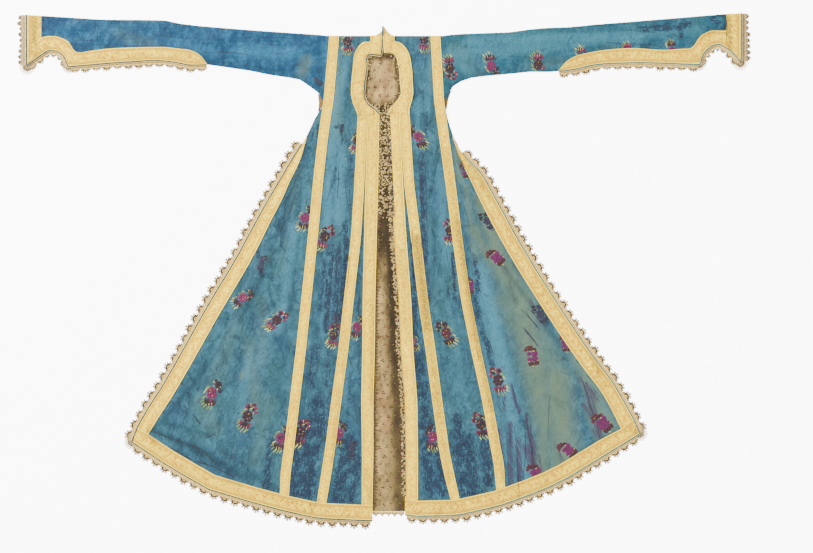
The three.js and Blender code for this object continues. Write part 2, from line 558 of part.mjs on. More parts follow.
const lining = outlineOf([
  [-6, -10], [-34, 4], [-76, 40], [-82, 90], [-84, 180], [-62, 226], [-50, 250], [-62, 792], [-68, 1425],
  [104, 1425], [82, 792], [54, 250], [62, 226], [80, 180], [78, 90], [72, 40], [32, 4], [6, -10],
].map(([x, down]) => ({ x, y: SHOULDER_Y - down })));
add('back_lining', sheet(lining.intersect(back), LINING_Z, LINING_Z + LINING_THICK), 'lining');
add('back_hem_lace', sheet(lace([{ x: -50, y: SHOULDER_Y - 1426 }, { x: 64, y: SHOULDER_Y - 1426 }], -1, 16, { open: false }), 0, LACE), 'lace');

for (const [name, side] of Object.entries(SIDES)) {
  const patch = outlineOf(side.underarm.map(([out, down]) => place(side, out, down)))
    .subtract(back.offset(GAP, 'Miter', 2)).subtract(side.sleeve.offset(GAP, 'Miter', 2));
  add(`${name}_underarm`, sheet(patch, 0, CLOTH), 'cotton');
}

// The origin stands under the middle of the robe's box
const middle = new THREE.Box3().setFromObject(robe).getCenter(new THREE.Vector3());
for (const mesh of robe.children) mesh.geometry.translate(-middle.x, -middle.y, 0);

export default robe;
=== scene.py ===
import math
import random

import bpy
import numpy as np
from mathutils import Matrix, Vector
from mathutils.bvhtree import BVHTree
from mathutils.geometry import tessellate_polygon


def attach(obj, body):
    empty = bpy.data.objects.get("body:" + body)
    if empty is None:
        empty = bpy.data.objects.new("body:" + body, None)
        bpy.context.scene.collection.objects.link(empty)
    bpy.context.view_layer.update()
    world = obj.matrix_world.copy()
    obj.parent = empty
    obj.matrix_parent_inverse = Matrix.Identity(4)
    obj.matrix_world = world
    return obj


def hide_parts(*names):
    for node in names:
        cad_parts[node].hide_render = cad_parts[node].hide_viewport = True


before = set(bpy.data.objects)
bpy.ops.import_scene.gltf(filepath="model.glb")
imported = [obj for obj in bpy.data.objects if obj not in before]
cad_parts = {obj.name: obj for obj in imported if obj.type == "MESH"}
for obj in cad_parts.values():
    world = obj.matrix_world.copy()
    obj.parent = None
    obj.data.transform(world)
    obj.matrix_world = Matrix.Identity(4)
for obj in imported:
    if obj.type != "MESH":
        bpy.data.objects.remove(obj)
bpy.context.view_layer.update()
bpy.ops.object.select_all(action="DESELECT")

# A three-skirted robe laid flat on its back. Sizes are in millimetres and become metres
# in the meshes. "out" is the distance from the centre line, "down" from the shoulder line.
robe = {
    "shoulderY": 704.25,
    "shift": (-2.5, -0.42),     # the frame's origin is under the middle of the robe's box
    "cloth": 1.2,
    "braid": 1.0,
    "stripeHalf": 15.0,
    "hemBraid": 46.0,
    "liningTop": 2.5,
    "frontTop": 4.0,            # top of a front where it lies on the lining
    "sleeveTop": 2.7,
    "drapedTop": 1.5,           # top of a skirt edge that lies on the floor
    "skirtRows": 16,
    "braidLift": 0.25,
}

# Neck rows: edge out and down, braid's outer side out and down, armhole seam down.
# Skirt rows: down, front edge, centre braid and inner seam out.
sides = {
    "left": {
        "sign": -1,
        "neck": [
            (0.5, 0, 38, 0, 0), (1.5, 22, 39.5, 16.5, 8), (6, 59, 59, 19, 23), (45, 59.5, 82, 46, 56),
            (48.5, 98, 91, 100, 96), (55, 150, 95.5, 145, 134), (55.5, 184, 95, 183, 168),
            (46, 203, 90, 203, 194), (26, 219, 83, 220, 216), (10.5, 234, 76, 238, 246)],
        "skirt": [
            (234, 10.5, 45.5, 61), (432, 14, 53, 70), (612, 18.6, 57, 81.6), (792, 22.8, 61, 102.6),
            (942, 24, 62, 118.8), (1092, 28.5, 65.5, 139.5), (1242, 28.5, 63, 159),
            (1392, 31, 64, 182.4), (1460, 31.5, 64, 192)],
        "outerSeam": [
            (0, 146), (192, 163), (282, 177), (432, 194), (612, 211),
            (942, 246), (1092, 264), (1242, 282), (1383, 301.5), (1460, 312)],
        "sideEdge": [
            (216, 186), (246, 203), (284, 216), (312, 236), (350, 259), (514, 356), (670, 440),
            (809, 524), (969, 613), (1054, 662), (1092, 688), (1138, 715.5), (1175, 736), (1217, 752)],
        "sideBraid": [(246, 2), (305, 3), (340, 19), (396, 23), (470, 34), (602, 40), (765, 42), (1217, 40)],
        "hem": [
            (31.5, 1452), (141, 1450), (212, 1442), (309, 1420), (398, 1396),
            (524, 1358), (642, 1290), (752, 1217)],
        "slitDown": 322,
        "innerCorner": (703, 1194),
        "collar": [(0.5, -0.4), (0.6, -30), (2.4, -31.5), (4, -14), (19.5, -1.5), (37.5, -0.4)],
        "sleeveTop": [
            (146, 0), (249, -7.5), (399, -18), (549, -30), (609, -37.5), (654, -46.5), (699, -48),
            (849, -49.5), (1008, -60), (1066, -63)],
        "sleeveLower": [
            (163, 194), (178, 193), (195, 170), (219, 153), (249, 132), (279, 126), (339, 117), (399, 105),
            (459, 96), (528, 86), (552, 86), (581, 86), (607, 81), (653, 74), (694, 73), (767, 77), (839, 82),
            (880, 86), (918, 89), (943, 91.5), (948, 78), (956, 62), (968, 50), (985, 43.5), (1006, 43.5),
            (1026, 56), (1046, 71), (1067, 88)],
        "sleeveBraid": [
            (163, 164), (459, 80), (528, 83), (555, 52), (576, 43), (653, 34), (746, 34), (839, 40),
            (917, 50.5), (928, 34), (943, 17), (962, 6), (985, 1), (1006, 1), (1025, 5), (1067, 84)],
        "cuffOut": 1024, "slitOut": 528, "notchOut": 943,
    },
    "right": {
        "sign": 1,
        "neck": [
            (0.5, 0, 35.5, 0, 0), (1, 22, 36, 16, 8), (3, 51, 50, 20, 23), (33, 56, 76, 49, 56),
            (46, 92, 86, 92, 96), (50.5, 142, 89.7, 142, 134), (52, 178, 90.6, 176, 168),
            (40, 196, 86, 198, 194), (23, 214, 81, 216, 216), (12, 231, 80, 238, 246)],
        "skirt": [
            (231, 12, 50, 65), (432, 21, 60, 77), (612, 30, 71, 99.3), (792, 43.5, 85, 120.3),
            (942, 49.5, 91, 142.5), (1092, 61.5, 103, 162.3), (1242, 64.5, 105, 183.6),
            (1392, 66, 105, 214.5), (1460, 66, 105, 228)],
        "outerSeam": [
            (0, 157), (192, 168), (282, 180), (432, 201), (612, 223.5), (792, 249),
            (942, 279), (1092, 312), (1242, 339), (1368, 361.5), (1460, 378)],
        "sideEdge": [
            (216, 188), (246, 193), (276, 201), (303, 211), (336, 224), (351, 233), (371, 257), (392, 280.5),
            (493, 339), (611, 402.6), (716, 465.6), (821, 533), (910, 592), (969, 634), (1047, 693),
            (1144, 747.6), (1192, 769.5)],
        "sideBraid": [(246, 2), (330, 3), (365, 18), (398, 34), (450, 41), (530, 44), (1192, 43)],
        "hem": [
            (66, 1434), (145.5, 1444), (238, 1433), (348, 1408), (424, 1381),
            (529, 1339), (617, 1285), (769.5, 1192)],
        "slitDown": 350,
        "innerCorner": (713, 1178),
        "collar": [(0.5, -0.4), (0.6, -29), (3, -28), (9, -19), (18, -9), (25, -2.5), (35, -0.4)],
        "sleeveTop": [
            (157, 0), (231, -6), (381, -12), (471, -24), (561, -27), (651, -36), (771, -45),
            (843, -51), (951, -60), (1026, -66), (1072, -68)],
        "sleeveLower": [
            (168, 194), (183, 188), (210, 152), (233, 137), (265, 126), (305, 121), (381, 114), (441, 108),
            (501, 108), (527, 106), (552, 102), (575, 98.5), (623, 87.6), (736, 79.5), (853, 81), (897, 83),
            (922, 84), (949, 85), (955, 66), (963, 49), (974, 38), (985, 29.5), (1012, 25),
            (1036, 39), (1055, 56), (1072, 76)],
        "sleeveBraid": [
            (168, 164), (441, 92), (527, 102), (553, 74), (591, 53), (666, 45), (746, 36), (853, 42),
            (923, 37), (935, 17), (955, -3), (975, -13), (991, -17.5), (1012, -15.5), (1029, -16),
            (1072, 71)],
        "cuffOut": 1029, "slitOut": 527, "notchOut": 949,
    },
}

# Broad folds: out, down, to out, to down, half width, height
folds = {
    "left": [
        (225, 300, 268, 600, 34, 5.5), (205, 400, 330, 820, 36, 4), (300, 560, 520, 1060, 52, 4.5),
        (290, 800, 400, 1250, 48, 4), (420, 700, 640, 1130, 50, 3.5), (245, 930, 300, 1350, 34, 3),
        (105, 480, 165, 1120, 30, 3), (32, 700, 60, 1250, 26, 2.5), (105, 70, 140, 260, 30, 3)],
    "right": [
        (205, 320, 300, 620, 34, 5), (225, 480, 400, 960, 42, 4.5), (350, 560, 560, 1000, 52, 4),
        (330, 860, 440, 1300, 48, 4), (480, 780, 680, 1130, 50, 3.5), (290, 900, 345, 1330, 32, 3),
        (110, 330, 190, 980, 30, 3), (65, 640, 95, 1300, 28, 2.5), (105, 60, 140, 250, 30, 3)],
    "sleeve": [
        (190, 20, 330, 70, 32, 4), (200, 120, 420, 60, 34, 3.5), (430, 10, 600, 20, 30, 3),
        (480, 70, 700, 10, 34, 3), (700, -10, 900, 0, 34, 3), (860, -35, 990, -30, 26, 2.5)],
}

# Marks on the cloth, on a grid of 3 mm squares on which the centre line is line 383 and
# the shoulder line 36: across, down, to across, to down, half width, strength
grid = {"square": 3.0, "centre": 383, "shoulder": 36}
marks = {
    # floats of the pattern worn away to the indigo ground
    "wear": [
        (336, 127, 345, 127, 3, .9), (341, 128, 342, 140, 2.5, .6), (349, 145, 352, 178, 4, .45),
        (336, 168, 334, 182, 2.5, .6), (349, 185, 351, 215, 2, .35), (345, 222, 347, 250, 5, .9),
        (331, 246, 326, 330, 6, .85), (339, 245, 334, 332, 5, .95), (347, 246, 342, 320, 5, .9),
        (325, 262, 320, 310, 4, .6), (318, 345, 311, 385, 8, .5), (331, 340, 326, 385, 6, .5),
        (318, 402, 308, 430, 14, .7), (312, 430, 303, 495, 18, .95), (330, 400, 322, 440, 7, .5),
        (322, 410, 316, 450, 8, .85), (300, 430, 293, 490, 7, .8), (349, 440, 338, 500, 13, .95),
        (358, 455, 352, 500, 9, .7), (336, 360, 330, 400, 6, .3), (352, 380, 346, 430, 5, .4),
        (272, 440, 266, 488, 8, .65), (258, 252, 262, 275, 4, .7), (318.5, 126, 317, 148, 2.5, .9),
        (314, 128, 312, 140, 2, .6), (427, 112, 426, 150, 3, .5), (421, 152, 425, 262, 4.5, .95),
        (427, 262, 430, 300, 3, .6), (412, 228, 416, 290, 5, 1.), (453, 255, 455, 300, 4, .75),
        (446, 280, 449, 300, 3, .5), (428, 290, 428, 298, 3, .7), (413, 283, 416, 345, 6, .85),
        (417, 345, 426, 420, 12, .7), (426, 425, 432, 488, 14, .9), (440, 440, 442, 492, 9, .8),
        (456, 416, 460, 432, 9, .8), (458, 432, 460, 450, 9, .8), (462, 440, 470, 492, 20, .95),
        (484, 440, 488, 488, 9, .8), (474, 258, 478, 290, 6, .75), (474, 296, 484, 340, 5, .7),
        (486, 340, 492, 366, 5, .85), (640, 30, 690, 25, 6, 1.), (676, 20, 682, 38, 4, .9),
        (712, 18, 726, 30, 5, .8), (700, 16, 726, 14, 2, .7), (43, 18, 44, 36, 3, .7),
        (43, 36, 60, 36, 2, .4)],
    # smooth worn places
    "plum": [
        (511, 384, 513, 396, 2.5, .9), (513, 394, 519, 412, 4, 1.), (505, 396, 503, 412, 2.4, .8),
        (500, 430, 499, 480, 6, .9), (510, 424, 511, 484, 5, .9), (526, 414, 529, 436, 3, 1.),
        (529, 432, 534, 458, 6, 1.), (527, 448, 536, 470, 9, 1.), (518, 440, 520, 484, 6, .9),
        (538, 456, 541, 474, 5, .7), (522, 310, 540, 330, 1.4, .8), (523, 328, 537, 345, 1.4, .9),
        (506, 331, 507, 344, 2, .8), (505, 268, 516, 300, 7, .35), (530, 300, 540, 322, 5, .5),
        (580, 378, 588, 396, 4, .9), (586, 384, 596, 400, 5, .9), (590, 398, 599, 434, 7, 1.),
        (583, 404, 592, 420, 3, .7), (594, 430, 604, 440, 7, .8), (496, 380, 500, 412, 3, .6),
        (556, 445, 562, 460, 5, .6)],
    # old damp stains
    "stain": [
        (466, 186, 476, 260, 7, .55), (482, 200, 500, 262, 15, .95), (474, 230, 492, 262, 12, .8),
        (500, 262, 520, 300, 22, .9), (520, 300, 548, 420, 26, .95), (556, 380, 566, 470, 26, 1.),
        (545, 430, 540, 485, 14, .8), (590, 405, 604, 446, 12, .6), (570, 335, 608, 425, 17, .8),
        (520, 240, 560, 300, 10, .5), (505, 300, 520, 330, 18, .6), (545, 395, 560, 410, 14, .8),
        (535, 330, 560, 380, 20, .6), (456, 150, 460, 180, 6, .7), (250, 345, 258, 420, 12, .25),
        (262, 300, 262, 360, 10, .15), (241, 378, 243, 372, 4, .6), (235, 330, 215, 380, 14, .15),
        (270, 400, 255, 460, 12, .15), (200, 400, 215, 430, 12, .2), (335, 40, 338, 130, 9, .25),
        (432, 40, 436, 90, 7, .5), (455, 50, 480, 75, 14, .15), (530, 66, 560, 62, 9, .2),
        (590, 62, 610, 50, 12, .25), (302, 74, 306, 60, 10, .5), (120, 35, 150, 45, 12, .2)],
    "fade": [
        (470, 42, 640, 36, 12, .75), (640, 34, 700, 30, 9, .6), (455, 62, 470, 72, 8, .5),
        (418, 100, 416, 150, 5, .5), (430, 60, 428, 110, 6, .6), (333, 50, 331, 150, 12, .95),
        (340, 150, 337, 222, 9, .8), (346, 60, 340, 110, 6, .6), (331, 150, 326, 235, 9, .8),
        (344, 190, 342, 220, 6, .6), (330, 255, 322, 335, 5, .5), (250, 352, 246, 378, 8, .9),
        (222, 330, 214, 350, 8, .7), (296, 230, 278, 330, 8, .7), (270, 330, 240, 400, 9, .4),
        (305, 180, 300, 260, 4, .5), (440, 170, 447, 260, 10, .6), (450, 300, 465, 400, 10, .35),
        (545, 395, 575, 470, 14, .5), (500, 400, 508, 460, 5, .4), (480, 270, 512, 400, 15, .85),
        (478, 330, 500, 440, 12, .6), (505, 400, 525, 480, 15, .7), (576, 345, 606, 415, 12, .7),
        (300, 54, 235, 50, 10, .5), (170, 40, 215, 55, 9, .2), (560, 45, 450, 55, 12, .7),
        (480, 80, 455, 100, 7, .5), (350, 300, 343, 400, 8, .5), (355, 250, 352, 300, 4, .5),
        (410, 360, 416, 420, 6, .4)],
    # shadowed hollows of the folds
    "deep": [
        (150, 429, 200, 450, 6, .8), (196, 450, 240, 476, 9, .8), (240, 470, 285, 492, 6, .6),
        (290, 430, 284, 480, 5, .5), (155, 420, 210, 436, 5, .5), (222, 450, 250, 472, 7, .5),
        (300, 160, 282, 230, 7, .5), (276, 250, 240, 320, 6, .45), (318, 60, 320, 110, 4, .5),
        (452, 110, 462, 170, 4, .45), (498, 395, 520, 480, 7, .35), (582, 356, 612, 410, 5, .3),
        (500, 262, 560, 345, 5, .45), (436, 60, 432, 120, 4, .5), (322, 300, 300, 420, 5, .35),
        (360, 300, 360, 440, 4, .5), (406, 300, 410, 480, 4, .45), (478, 330, 492, 400, 4, .4),
        (306, 150, 281, 245, 4, .6), (300, 165, 262, 280, 4, .55), (314, 120, 296, 165, 3, .5),
        (268, 262, 205, 372, 4, .5), (203, 372, 160, 425, 4, .5), (360, 150, 362, 250, 2.5, .8),
        (363, 230, 357, 290, 2.5, .6), (443, 120, 428, 205, 3, .55), (438, 45, 441, 120, 4, .5),
        (436, 215, 432, 300, 4, .4), (449, 200, 446, 225, 3, .4), (452, 300, 470, 400, 4, .4),
        (244, 352, 258, 351, 3, .3), (230, 320, 190, 395, 9, .35), (500, 170, 560, 300, 3, .25),
        (545, 395, 560, 402, 6, .3), (548, 402, 556, 446, 6, .22), (566, 380, 572, 420, 4, .2),
        (512, 262, 524, 276, 6, .3), (509, 288, 516, 302, 6, .35), (242, 66, 285, 72, 3, .5),
        (322, 80, 314, 96, 3, .5), (50, 20, 95, 22, 3, .35), (44, 16, 46, 48, 3, .5),
        (724, 15, 726, 45, 3, .5), (560, 32, 640, 30, 3, .3), (690, 44, 704, 40, 4, .4),
        (520, 60, 560, 62, 6, .3), (452, 90, 450, 100, 3, .5), (60, 45, 140, 47, 3, .3),
        (200, 62, 250, 66, 3, .35)],
    # rubbed and soiled braid, and painted shade in its folds at the hem and beside the collar
    "soilAndShade": [
        (338, 390, 333, 460, 5, .45), (345, 330, 342, 370, 5, .3), (416, 238, 428, 330, 8, .9),
        (428, 330, 441, 425, 6, .6), (402, 250, 407, 340, 5, .4), (457, 222, 477, 340, 8, .85),
        (478, 345, 491, 410, 7, .7), (446, 150, 457, 225, 6, .5), (372, 300, 372, 400, 5, .3),
        (366, 470, 370, 500, 6, .35), (35, 18, 35, 46, 5, .8), (30, 50, 40, 56, 5, .3),
        (441, 430, 450, 480, 5, .4), (728, 18, 730, 50, 5, .75), (700, 36, 716, 30, 6, .4),
        (148, 430, 156, 442, 6, .5), (492, 420, 503, 480, 5, .5), (162, 440, 240, 484, 5, .35),
        (630, 428, 640, 436, 6, .45), (320, 500, 310, 512, 4, .3), (388, 58, 392, 40, 4, .5),
        (358, 100, 362, 118, 6, .35), (440, 510, 436, 518, 4, .5), (518, 490, 520, 500, 3, .5),
        (374, 110, 372, 125, 3, .35), (470, 165, 490, 200, 5, .45), (590, 350, 605, 385, 6, .35),
        (352, 60, 356, 50, 4, .3), (410, 80, 408, 110, 4, .25)],
}
# Sharp creases and folds, drawn as dark lines of painted shade, some of them pulled threads: the same grid,
# then the width in millimetres
creases = {
    "left": [
        (338.5, 166, 337.3, 198, 2.4), (331.5, 179.5, 344, 179, 1.8), (332, 180, 327, 202, 1.8),
        (345, 179, 349.5, 212, 2), (349.5, 212, 349, 236, 1.8), (333, 183, 331, 190, 1.2),
        (346, 187, 343, 188, 1.4), (347, 192, 344, 193, 1.4), (329, 191, 332, 192, 1.4),
        (343, 146, 347, 139, 1.6), (345, 134, 347, 143, 1.8), (334, 252, 331, 300, 2),
        (341, 250, 338, 320, 2), (327, 268, 323.5, 312, 1.8), (336.5, 256, 335, 285, 1.6),
        (345, 255, 343, 300, 1.8), (349, 250, 347.5, 285, 1.6), (329, 290, 326, 330, 1.6),
        (339, 296, 336, 331, 1.6), (311, 346, 308, 387, 2), (303, 356, 313.5, 365, 2),
        (314.4, 381, 314, 390, 2.2), (309.5, 466, 312, 514, 2.4), (347, 352, 355, 372, 2),
        (352, 415, 356.5, 423, 1.8), (352, 396, 358, 430, 1.6), (320, 352, 317, 374, 1.6),
        (152.8, 431, 170, 438, 3), (168, 438, 188, 444, 3), (186, 444, 203, 450, 2.6),
        (203, 450, 214, 462, 2.6), (170, 447, 194, 461, 3), (194, 461, 218, 468, 3),
        (216, 468, 235, 478, 3), (234, 441, 227, 475, 1.6), (301, 168, 283, 205, 3),
        (297, 192, 289, 216, 2.4), (286, 202, 280, 242, 2.2), (308, 142, 301, 160, 2.4),
        (278, 246, 262, 278, 1.8), (181.6, 381, 183, 385, 4), (187.6, 392, 188.4, 395, 4),
        (197.5, 388.6, 198.8, 391.5, 4.4), (184, 405, 187, 409, 3.6), (172, 401, 175, 405, 3.6),
        (182.6, 420.5, 183.8, 424.6, 3.4), (206, 438, 212, 435.5, 3.4), (195.5, 417.5, 201.5, 424.5, 5),
        (192, 414, 197, 418, 3), (216.5, 367, 217, 371, 3), (214, 399, 212, 404, 1.6),
        (180, 396, 178, 401, 2.4), (176, 411, 180, 413, 2.4), (188, 411, 186, 416, 2.4),
        (263, 38.6, 297, 39.6, 2), (205, 53, 252, 55.6, 2), (236.5, 37.6, 256, 39.4, 1.8),
        (267, 45, 279, 45.2, 1.8), (271, 53, 284, 54.4, 1.8), (95.4, 20, 95.7, 27, 2),
        (99, 24, 97.6, 44, 1.8), (79, 40, 94, 40.4, 1.4), (51, 16.7, 95, 20, 2), (150, 34, 190, 38, 1.4),
        (96, 20.5, 140, 24, 1.6), (316, 98, 322, 90, 2), (289, 425, 287, 440, 1.8),
        (362.6, 262, 358, 330, 1.6)],
    "right": [
        (434.3, 423, 433.6, 519, 3), (518, 474, 519, 490, 2.6), (419, 404, 431, 422, 2.2),
        (443, 142, 431, 196, 1.8), (466, 45, 466, 48, 3), (484, 38, 488, 42.5, 2),
        (418.4, 156, 421.6, 262, 2.2), (424.6, 152, 427.8, 256, 2.2), (413, 226, 414.6, 286, 2),
        (459.5, 155, 464.5, 168, 2.4), (434, 256, 435, 263, 3.4), (446, 250, 448, 262, 1.8),
        (604.5, 42.3, 646.6, 44.4, 1.8), (646.6, 44.4, 663.4, 47, 2.2), (524.4, 310, 538.7, 328, 2.6),
        (524.4, 328, 535.5, 342, 3), (527, 308, 540, 322, 1.8), (489, 340, 494, 356, 2.4),
        (511.6, 384, 516.4, 408, 2.4), (502, 398, 506, 412, 2), (526, 414, 535, 470, 2.4),
        (524, 420, 522, 484, 1.8), (530, 424, 533, 480, 1.6), (514, 426, 517, 484, 1.8),
        (506, 432, 508, 484, 1.6), (582, 380, 591, 404, 2.2), (588, 400, 600, 440, 2.2),
        (576, 360, 578, 363, 4), (592, 386, 600, 398, 2), (586, 374, 592, 382, 2.4),
        (472, 262, 477, 266, 2.4), (478, 268, 474, 276, 2), (482, 272, 476, 284, 2),
        (452, 262, 455, 296, 1.8), (448, 284, 450, 300, 1.8), (455, 290, 460, 292, 1.6),
        (457, 160, 462, 176, 1.8), (478, 480, 474, 452, 1.8), (486, 452, 488, 488, 2),
        (490, 446, 493, 484, 1.6), (550, 395, 548, 440, 1.4), (556, 404, 566, 410, 1.4),
        (560, 372, 572, 376, 1.6), (462, 200, 470, 230, 1.4), (420, 366, 424, 372, 2),
        (414, 346, 420, 352, 2), (476, 346, 479, 360, 1.6), (712, 16, 726, 14.6, 1.8),
        (726, 17, 726, 44, 2.4), (697, 24, 703, 31, 1.8), (662, 21, 682, 23, 1.6), (676, 33, 682, 38, 2),
        (666, 36, 676, 34, 1.6)],
}


def read(rows, at, column=1):
    i = 1
    while i < len(rows) - 1 and rows[i][0] < at:
        i += 1
    a, b = rows[i - 1], rows[i]
    return a[column] + (b[column] - a[column]) * (at - a[0]) / (b[0] - a[0])


def fill(row, a, b):
    for c in range(a + 1, b):
        row[c] = row[a] + (row[b] - row[a]) * (c - a) / (b - a)


# Columns of a front from its closing edge to its side
edge, centreBraid, innerIn, innerSeam, innerOut = 0, 1, 2, 3, 4
outerIn, outerSeam, outerOut, sideBraid, sideLine = 7, 8, 9, 15, 16
neckRows, hemRow, lastRow = 9, 9 + robe["skirtRows"], 10 + robe["skirtRows"]


def frontPoints(side):
    half, depth = robe["stripeHalf"], robe["hemBraid"]
    points = np.full((lastRow + 1, sideLine + 1, 2), np.nan)
    edgeAt = lambda d: read(side["skirt"], d, 1)
    braidAt = lambda d: read(side["skirt"], d, 2)
    innerAt = lambda d: read(side["skirt"], d, 3)
    outerAt = lambda d: read(side["outerSeam"], d)
    sideAt = lambda d: read(side["sideEdge"], d)

    def setStripe(row, down):
        for c, step in ((outerIn, -half), (outerSeam, 0), (outerOut, half)):
            row[c] = (outerAt(down) + step, down)

    for r, (eo, ed, bo, bd, sd) in enumerate(side["neck"]):
        row = points[r]
        row[edge], row[innerOut] = (eo, ed), (bo, bd)
        fill(row, edge, innerOut)
        setStripe(row, sd)
        fill(row, innerOut, outerIn)

    def hemCrossing(outAt):
        down = 1400
        for n in range(30):
            down = read(side["hem"], outAt(down))
        return outAt(down), down

    last, above = points[lastRow], points[hemRow]
    for c, outAt, aside in ((edge, edgeAt, 0), (centreBraid, braidAt, 0), (innerIn, innerAt, -half),
                            (innerSeam, innerAt, 0), (innerOut, innerAt, half), (outerIn, outerAt, -half),
                            (outerSeam, outerAt, 0), (outerOut, outerAt, half)):
        last[c] = hemCrossing(lambda d: outAt(d) + aside)
    last[sideBraid] = (side["innerCorner"][0] + 18, 0)
    fill(last, innerOut, outerIn)
    fill(last, outerOut, sideBraid)
    for c in range(sideLine):
        last[c][1] = read(side["hem"], last[c][0])
        slope = (read(side["hem"], last[c][0] + 15) - read(side["hem"], last[c][0] - 15)) / 30
        length = math.hypot(1, slope)
        above[c] = (last[c][0] + depth * slope / length, last[c][1] - depth / length)
    down = last[edge][1] - depth
    above[edge] = (edgeAt(down), down)
    above[centreBraid][0] = braidAt(above[centreBraid][1])
    above[sideBraid] = side["innerCorner"]
    last[sideLine] = side["sideEdge"][-1][::-1]
    down = last[sideLine][1] - depth * 0.92
    above[sideLine] = (sideAt(down), down)

    start = points[neckRows]
    top = start[edge][1]
    start[centreBraid] = (braidAt(top), top + 1.5)
    start[innerIn] = (braidAt(top) + 0.6, top + 1.5)
    start[innerSeam] = (innerAt(top + 3), top + 3)
    start[sideLine], start[sideBraid] = (sideAt(246), 246), (sideAt(246) - 2, 246)
    fill(start, outerOut, sideBraid)
    downAt = lambda c, t: start[c][1] + (above[c][1] - start[c][1]) * t
    for r in range(1, robe["skirtRows"]):
        t, row = r / robe["skirtRows"], points[neckRows + r]
        d = downAt(edge, t)
        row[edge] = (edgeAt(d), d)
        d = downAt(centreBraid, t)
        row[centreBraid] = (braidAt(d), d)
        d = downAt(innerSeam, t)
        row[innerIn] = (max(innerAt(d) - half, row[centreBraid][0] + 0.6), d)
        row[innerSeam], row[innerOut] = (innerAt(d), d), (innerAt(d) + half, d)
        setStripe(row, downAt(outerSeam, t))
        d = downAt(sideLine, t)
        out, width = sideAt(d), read(side["sideBraid"], d)
        slope = (sideAt(d + 15) - sideAt(d - 15)) / 30
        length = math.hypot(1, slope)
        row[sideLine], row[sideBraid] = (out, d), (out - width / length, d + width * slope / length)
        fill(row, innerOut, outerIn)
        fill(row, outerOut, sideBraid)
    tip = points[neckRows - 1]
    tip[sideLine], tip[sideBraid] = (sideAt(216), 219), (sideAt(216) - 1, 218.5)
    fill(tip, outerOut, sideBraid)
    return points


def sleevePoints(side, front):
    seams = [n[4] / side["neck"][7][4] for n in side["neck"][:8]]
    start = front[0][outerOut][0] + 30
    stations = sorted([out for out, _ in side["sleeveLower"] if out > start] + [side["cuffOut"]])
    points = [front[:8, outerSeam], front[:8, outerOut]]
    for out in stations:
        top, lower, braid = (read(side[name], out) for name in ("sleeveTop", "sleeveLower", "sleeveBraid"))
        opened = min(1, max(0, (out - 400) / (side["slitOut"] - 400)))
        inner = top + (lower - top) * seams[6]
        inner += (braid - inner) * opened
        points.append([(out, lower if j == 7 else top + (inner - top) * seams[j] / seams[6])
                       for j in range(8)])
    return np.array(points), [front[0][outerSeam][0], front[0][outerOut][0]] + stations


# Finer points between the rows of a grid on smooth curves, sharp where isSharp says so,
# and straight between its columns; step is the widest cell along and across, or one for both
def refine(points, rows, columns, step, isSharp):
    rowStep, columnStep = step if isinstance(step, tuple) else (step, step)
    block = points[:, columns[0]:columns[1] + 1]
    sharp = np.array([[isSharp(r, c) for c in range(columns[0], columns[1] + 1)] for r in range(len(points))])
    sharp |= np.isnan(block[..., 0])
    length = lambda v: np.maximum(np.linalg.norm(v, axis=-1, keepdims=True), 1e-6)
    curves, rowAt = [], []
    for r in range(rows[0], rows[1]):
        p, q = block[r], block[r + 1]
        h = length(q - p)
        chord = (q - p) / h
        slopes = []
        for at, other in ((r, r - 1), (r + 1, r + 2)):
            slope = chord
            if 0 <= other < len(block) and not np.isnan(block[other]).all():
                far = np.nan_to_num(block[other] - block[at]) * (1 if other > at else -1)
                g = length(far)
                soft = (chord * g + far / g * h) / (g + h)
                missing = np.isnan(block[other][:, 0]) | sharp[at]
                slope = np.where(missing[:, None], chord, soft)
            slopes.append(slope)
        count = max(1, math.ceil(h.max() / rowStep))
        for k in range(count + (r == rows[1] - 1)):
            t = k / count
            curves.append((2 * t**3 - 3 * t**2 + 1) * p + (t**3 - 2 * t**2 + t) * h * slopes[0]
                          + (3 * t**2 - 2 * t**3) * q + (t**3 - t**2) * h * slopes[1])
            rowAt.append(r + t)
    curves = np.array(curves)
    spots, colAt = [], []
    for c in range(curves.shape[1] - 1):
        p, q = curves[:, c], curves[:, c + 1]
        count = max(1, math.ceil(np.linalg.norm(q - p, axis=1).max() / columnStep))
        for k in range(count + (c == curves.shape[1] - 2)):
            spots.append(p + (q - p) * k / count)
            colAt.append(columns[0] + c + k / count)
    return np.array(spots).transpose(1, 0, 2), np.array(rowAt), np.array(colAt)


# Height of the nearest of some strokes, soft at their sides and, with arch, at their ends
def strokes(table, x, y, arch=False):
    result = np.zeros_like(x)
    for ax, ay, bx, by, half, high in table:
        dx, dy = bx - ax, by - ay
        along = ((x - ax) * dx + (y - ay) * dy) / (dx * dx + dy * dy)
        nearest = along if arch else np.clip(along, 0, 1)
        away = np.hypot(x - ax - dx * nearest, y - ay - dy * nearest) / half
        soft = 0.5 + 0.5 * np.cos(math.pi * np.clip(away, 0, 1))
        if arch:
            soft *= np.sin(math.pi * np.clip(along, 0, 1))
        result = np.maximum(result, high * soft)
    return result


# Smooth random heights from 0 to 1, with lumps of a given size
def lumps(x, y, size, seed):
    table = np.random.default_rng(seed).random((64, 64))
    u, v = x / size[0], y / size[1]
    i, j = np.floor(u).astype(int), np.floor(v).astype(int)
    s, t = u - i, v - j
    s, t = s * s * (3 - 2 * s), t * t * (3 - 2 * t)
    at = lambda a, b: table[a % 64, b % 64]
    low = at(i, j) * (1 - s) + at(i + 1, j) * s
    high = at(i, j + 1) * (1 - s) + at(i + 1, j + 1) * s
    return low * (1 - t) + high * t


def toGrid(side, spots):
    square = grid["square"]
    return grid["centre"] + side["sign"] * spots[..., 0] / square, grid["shoulder"] + spots[..., 1] / square


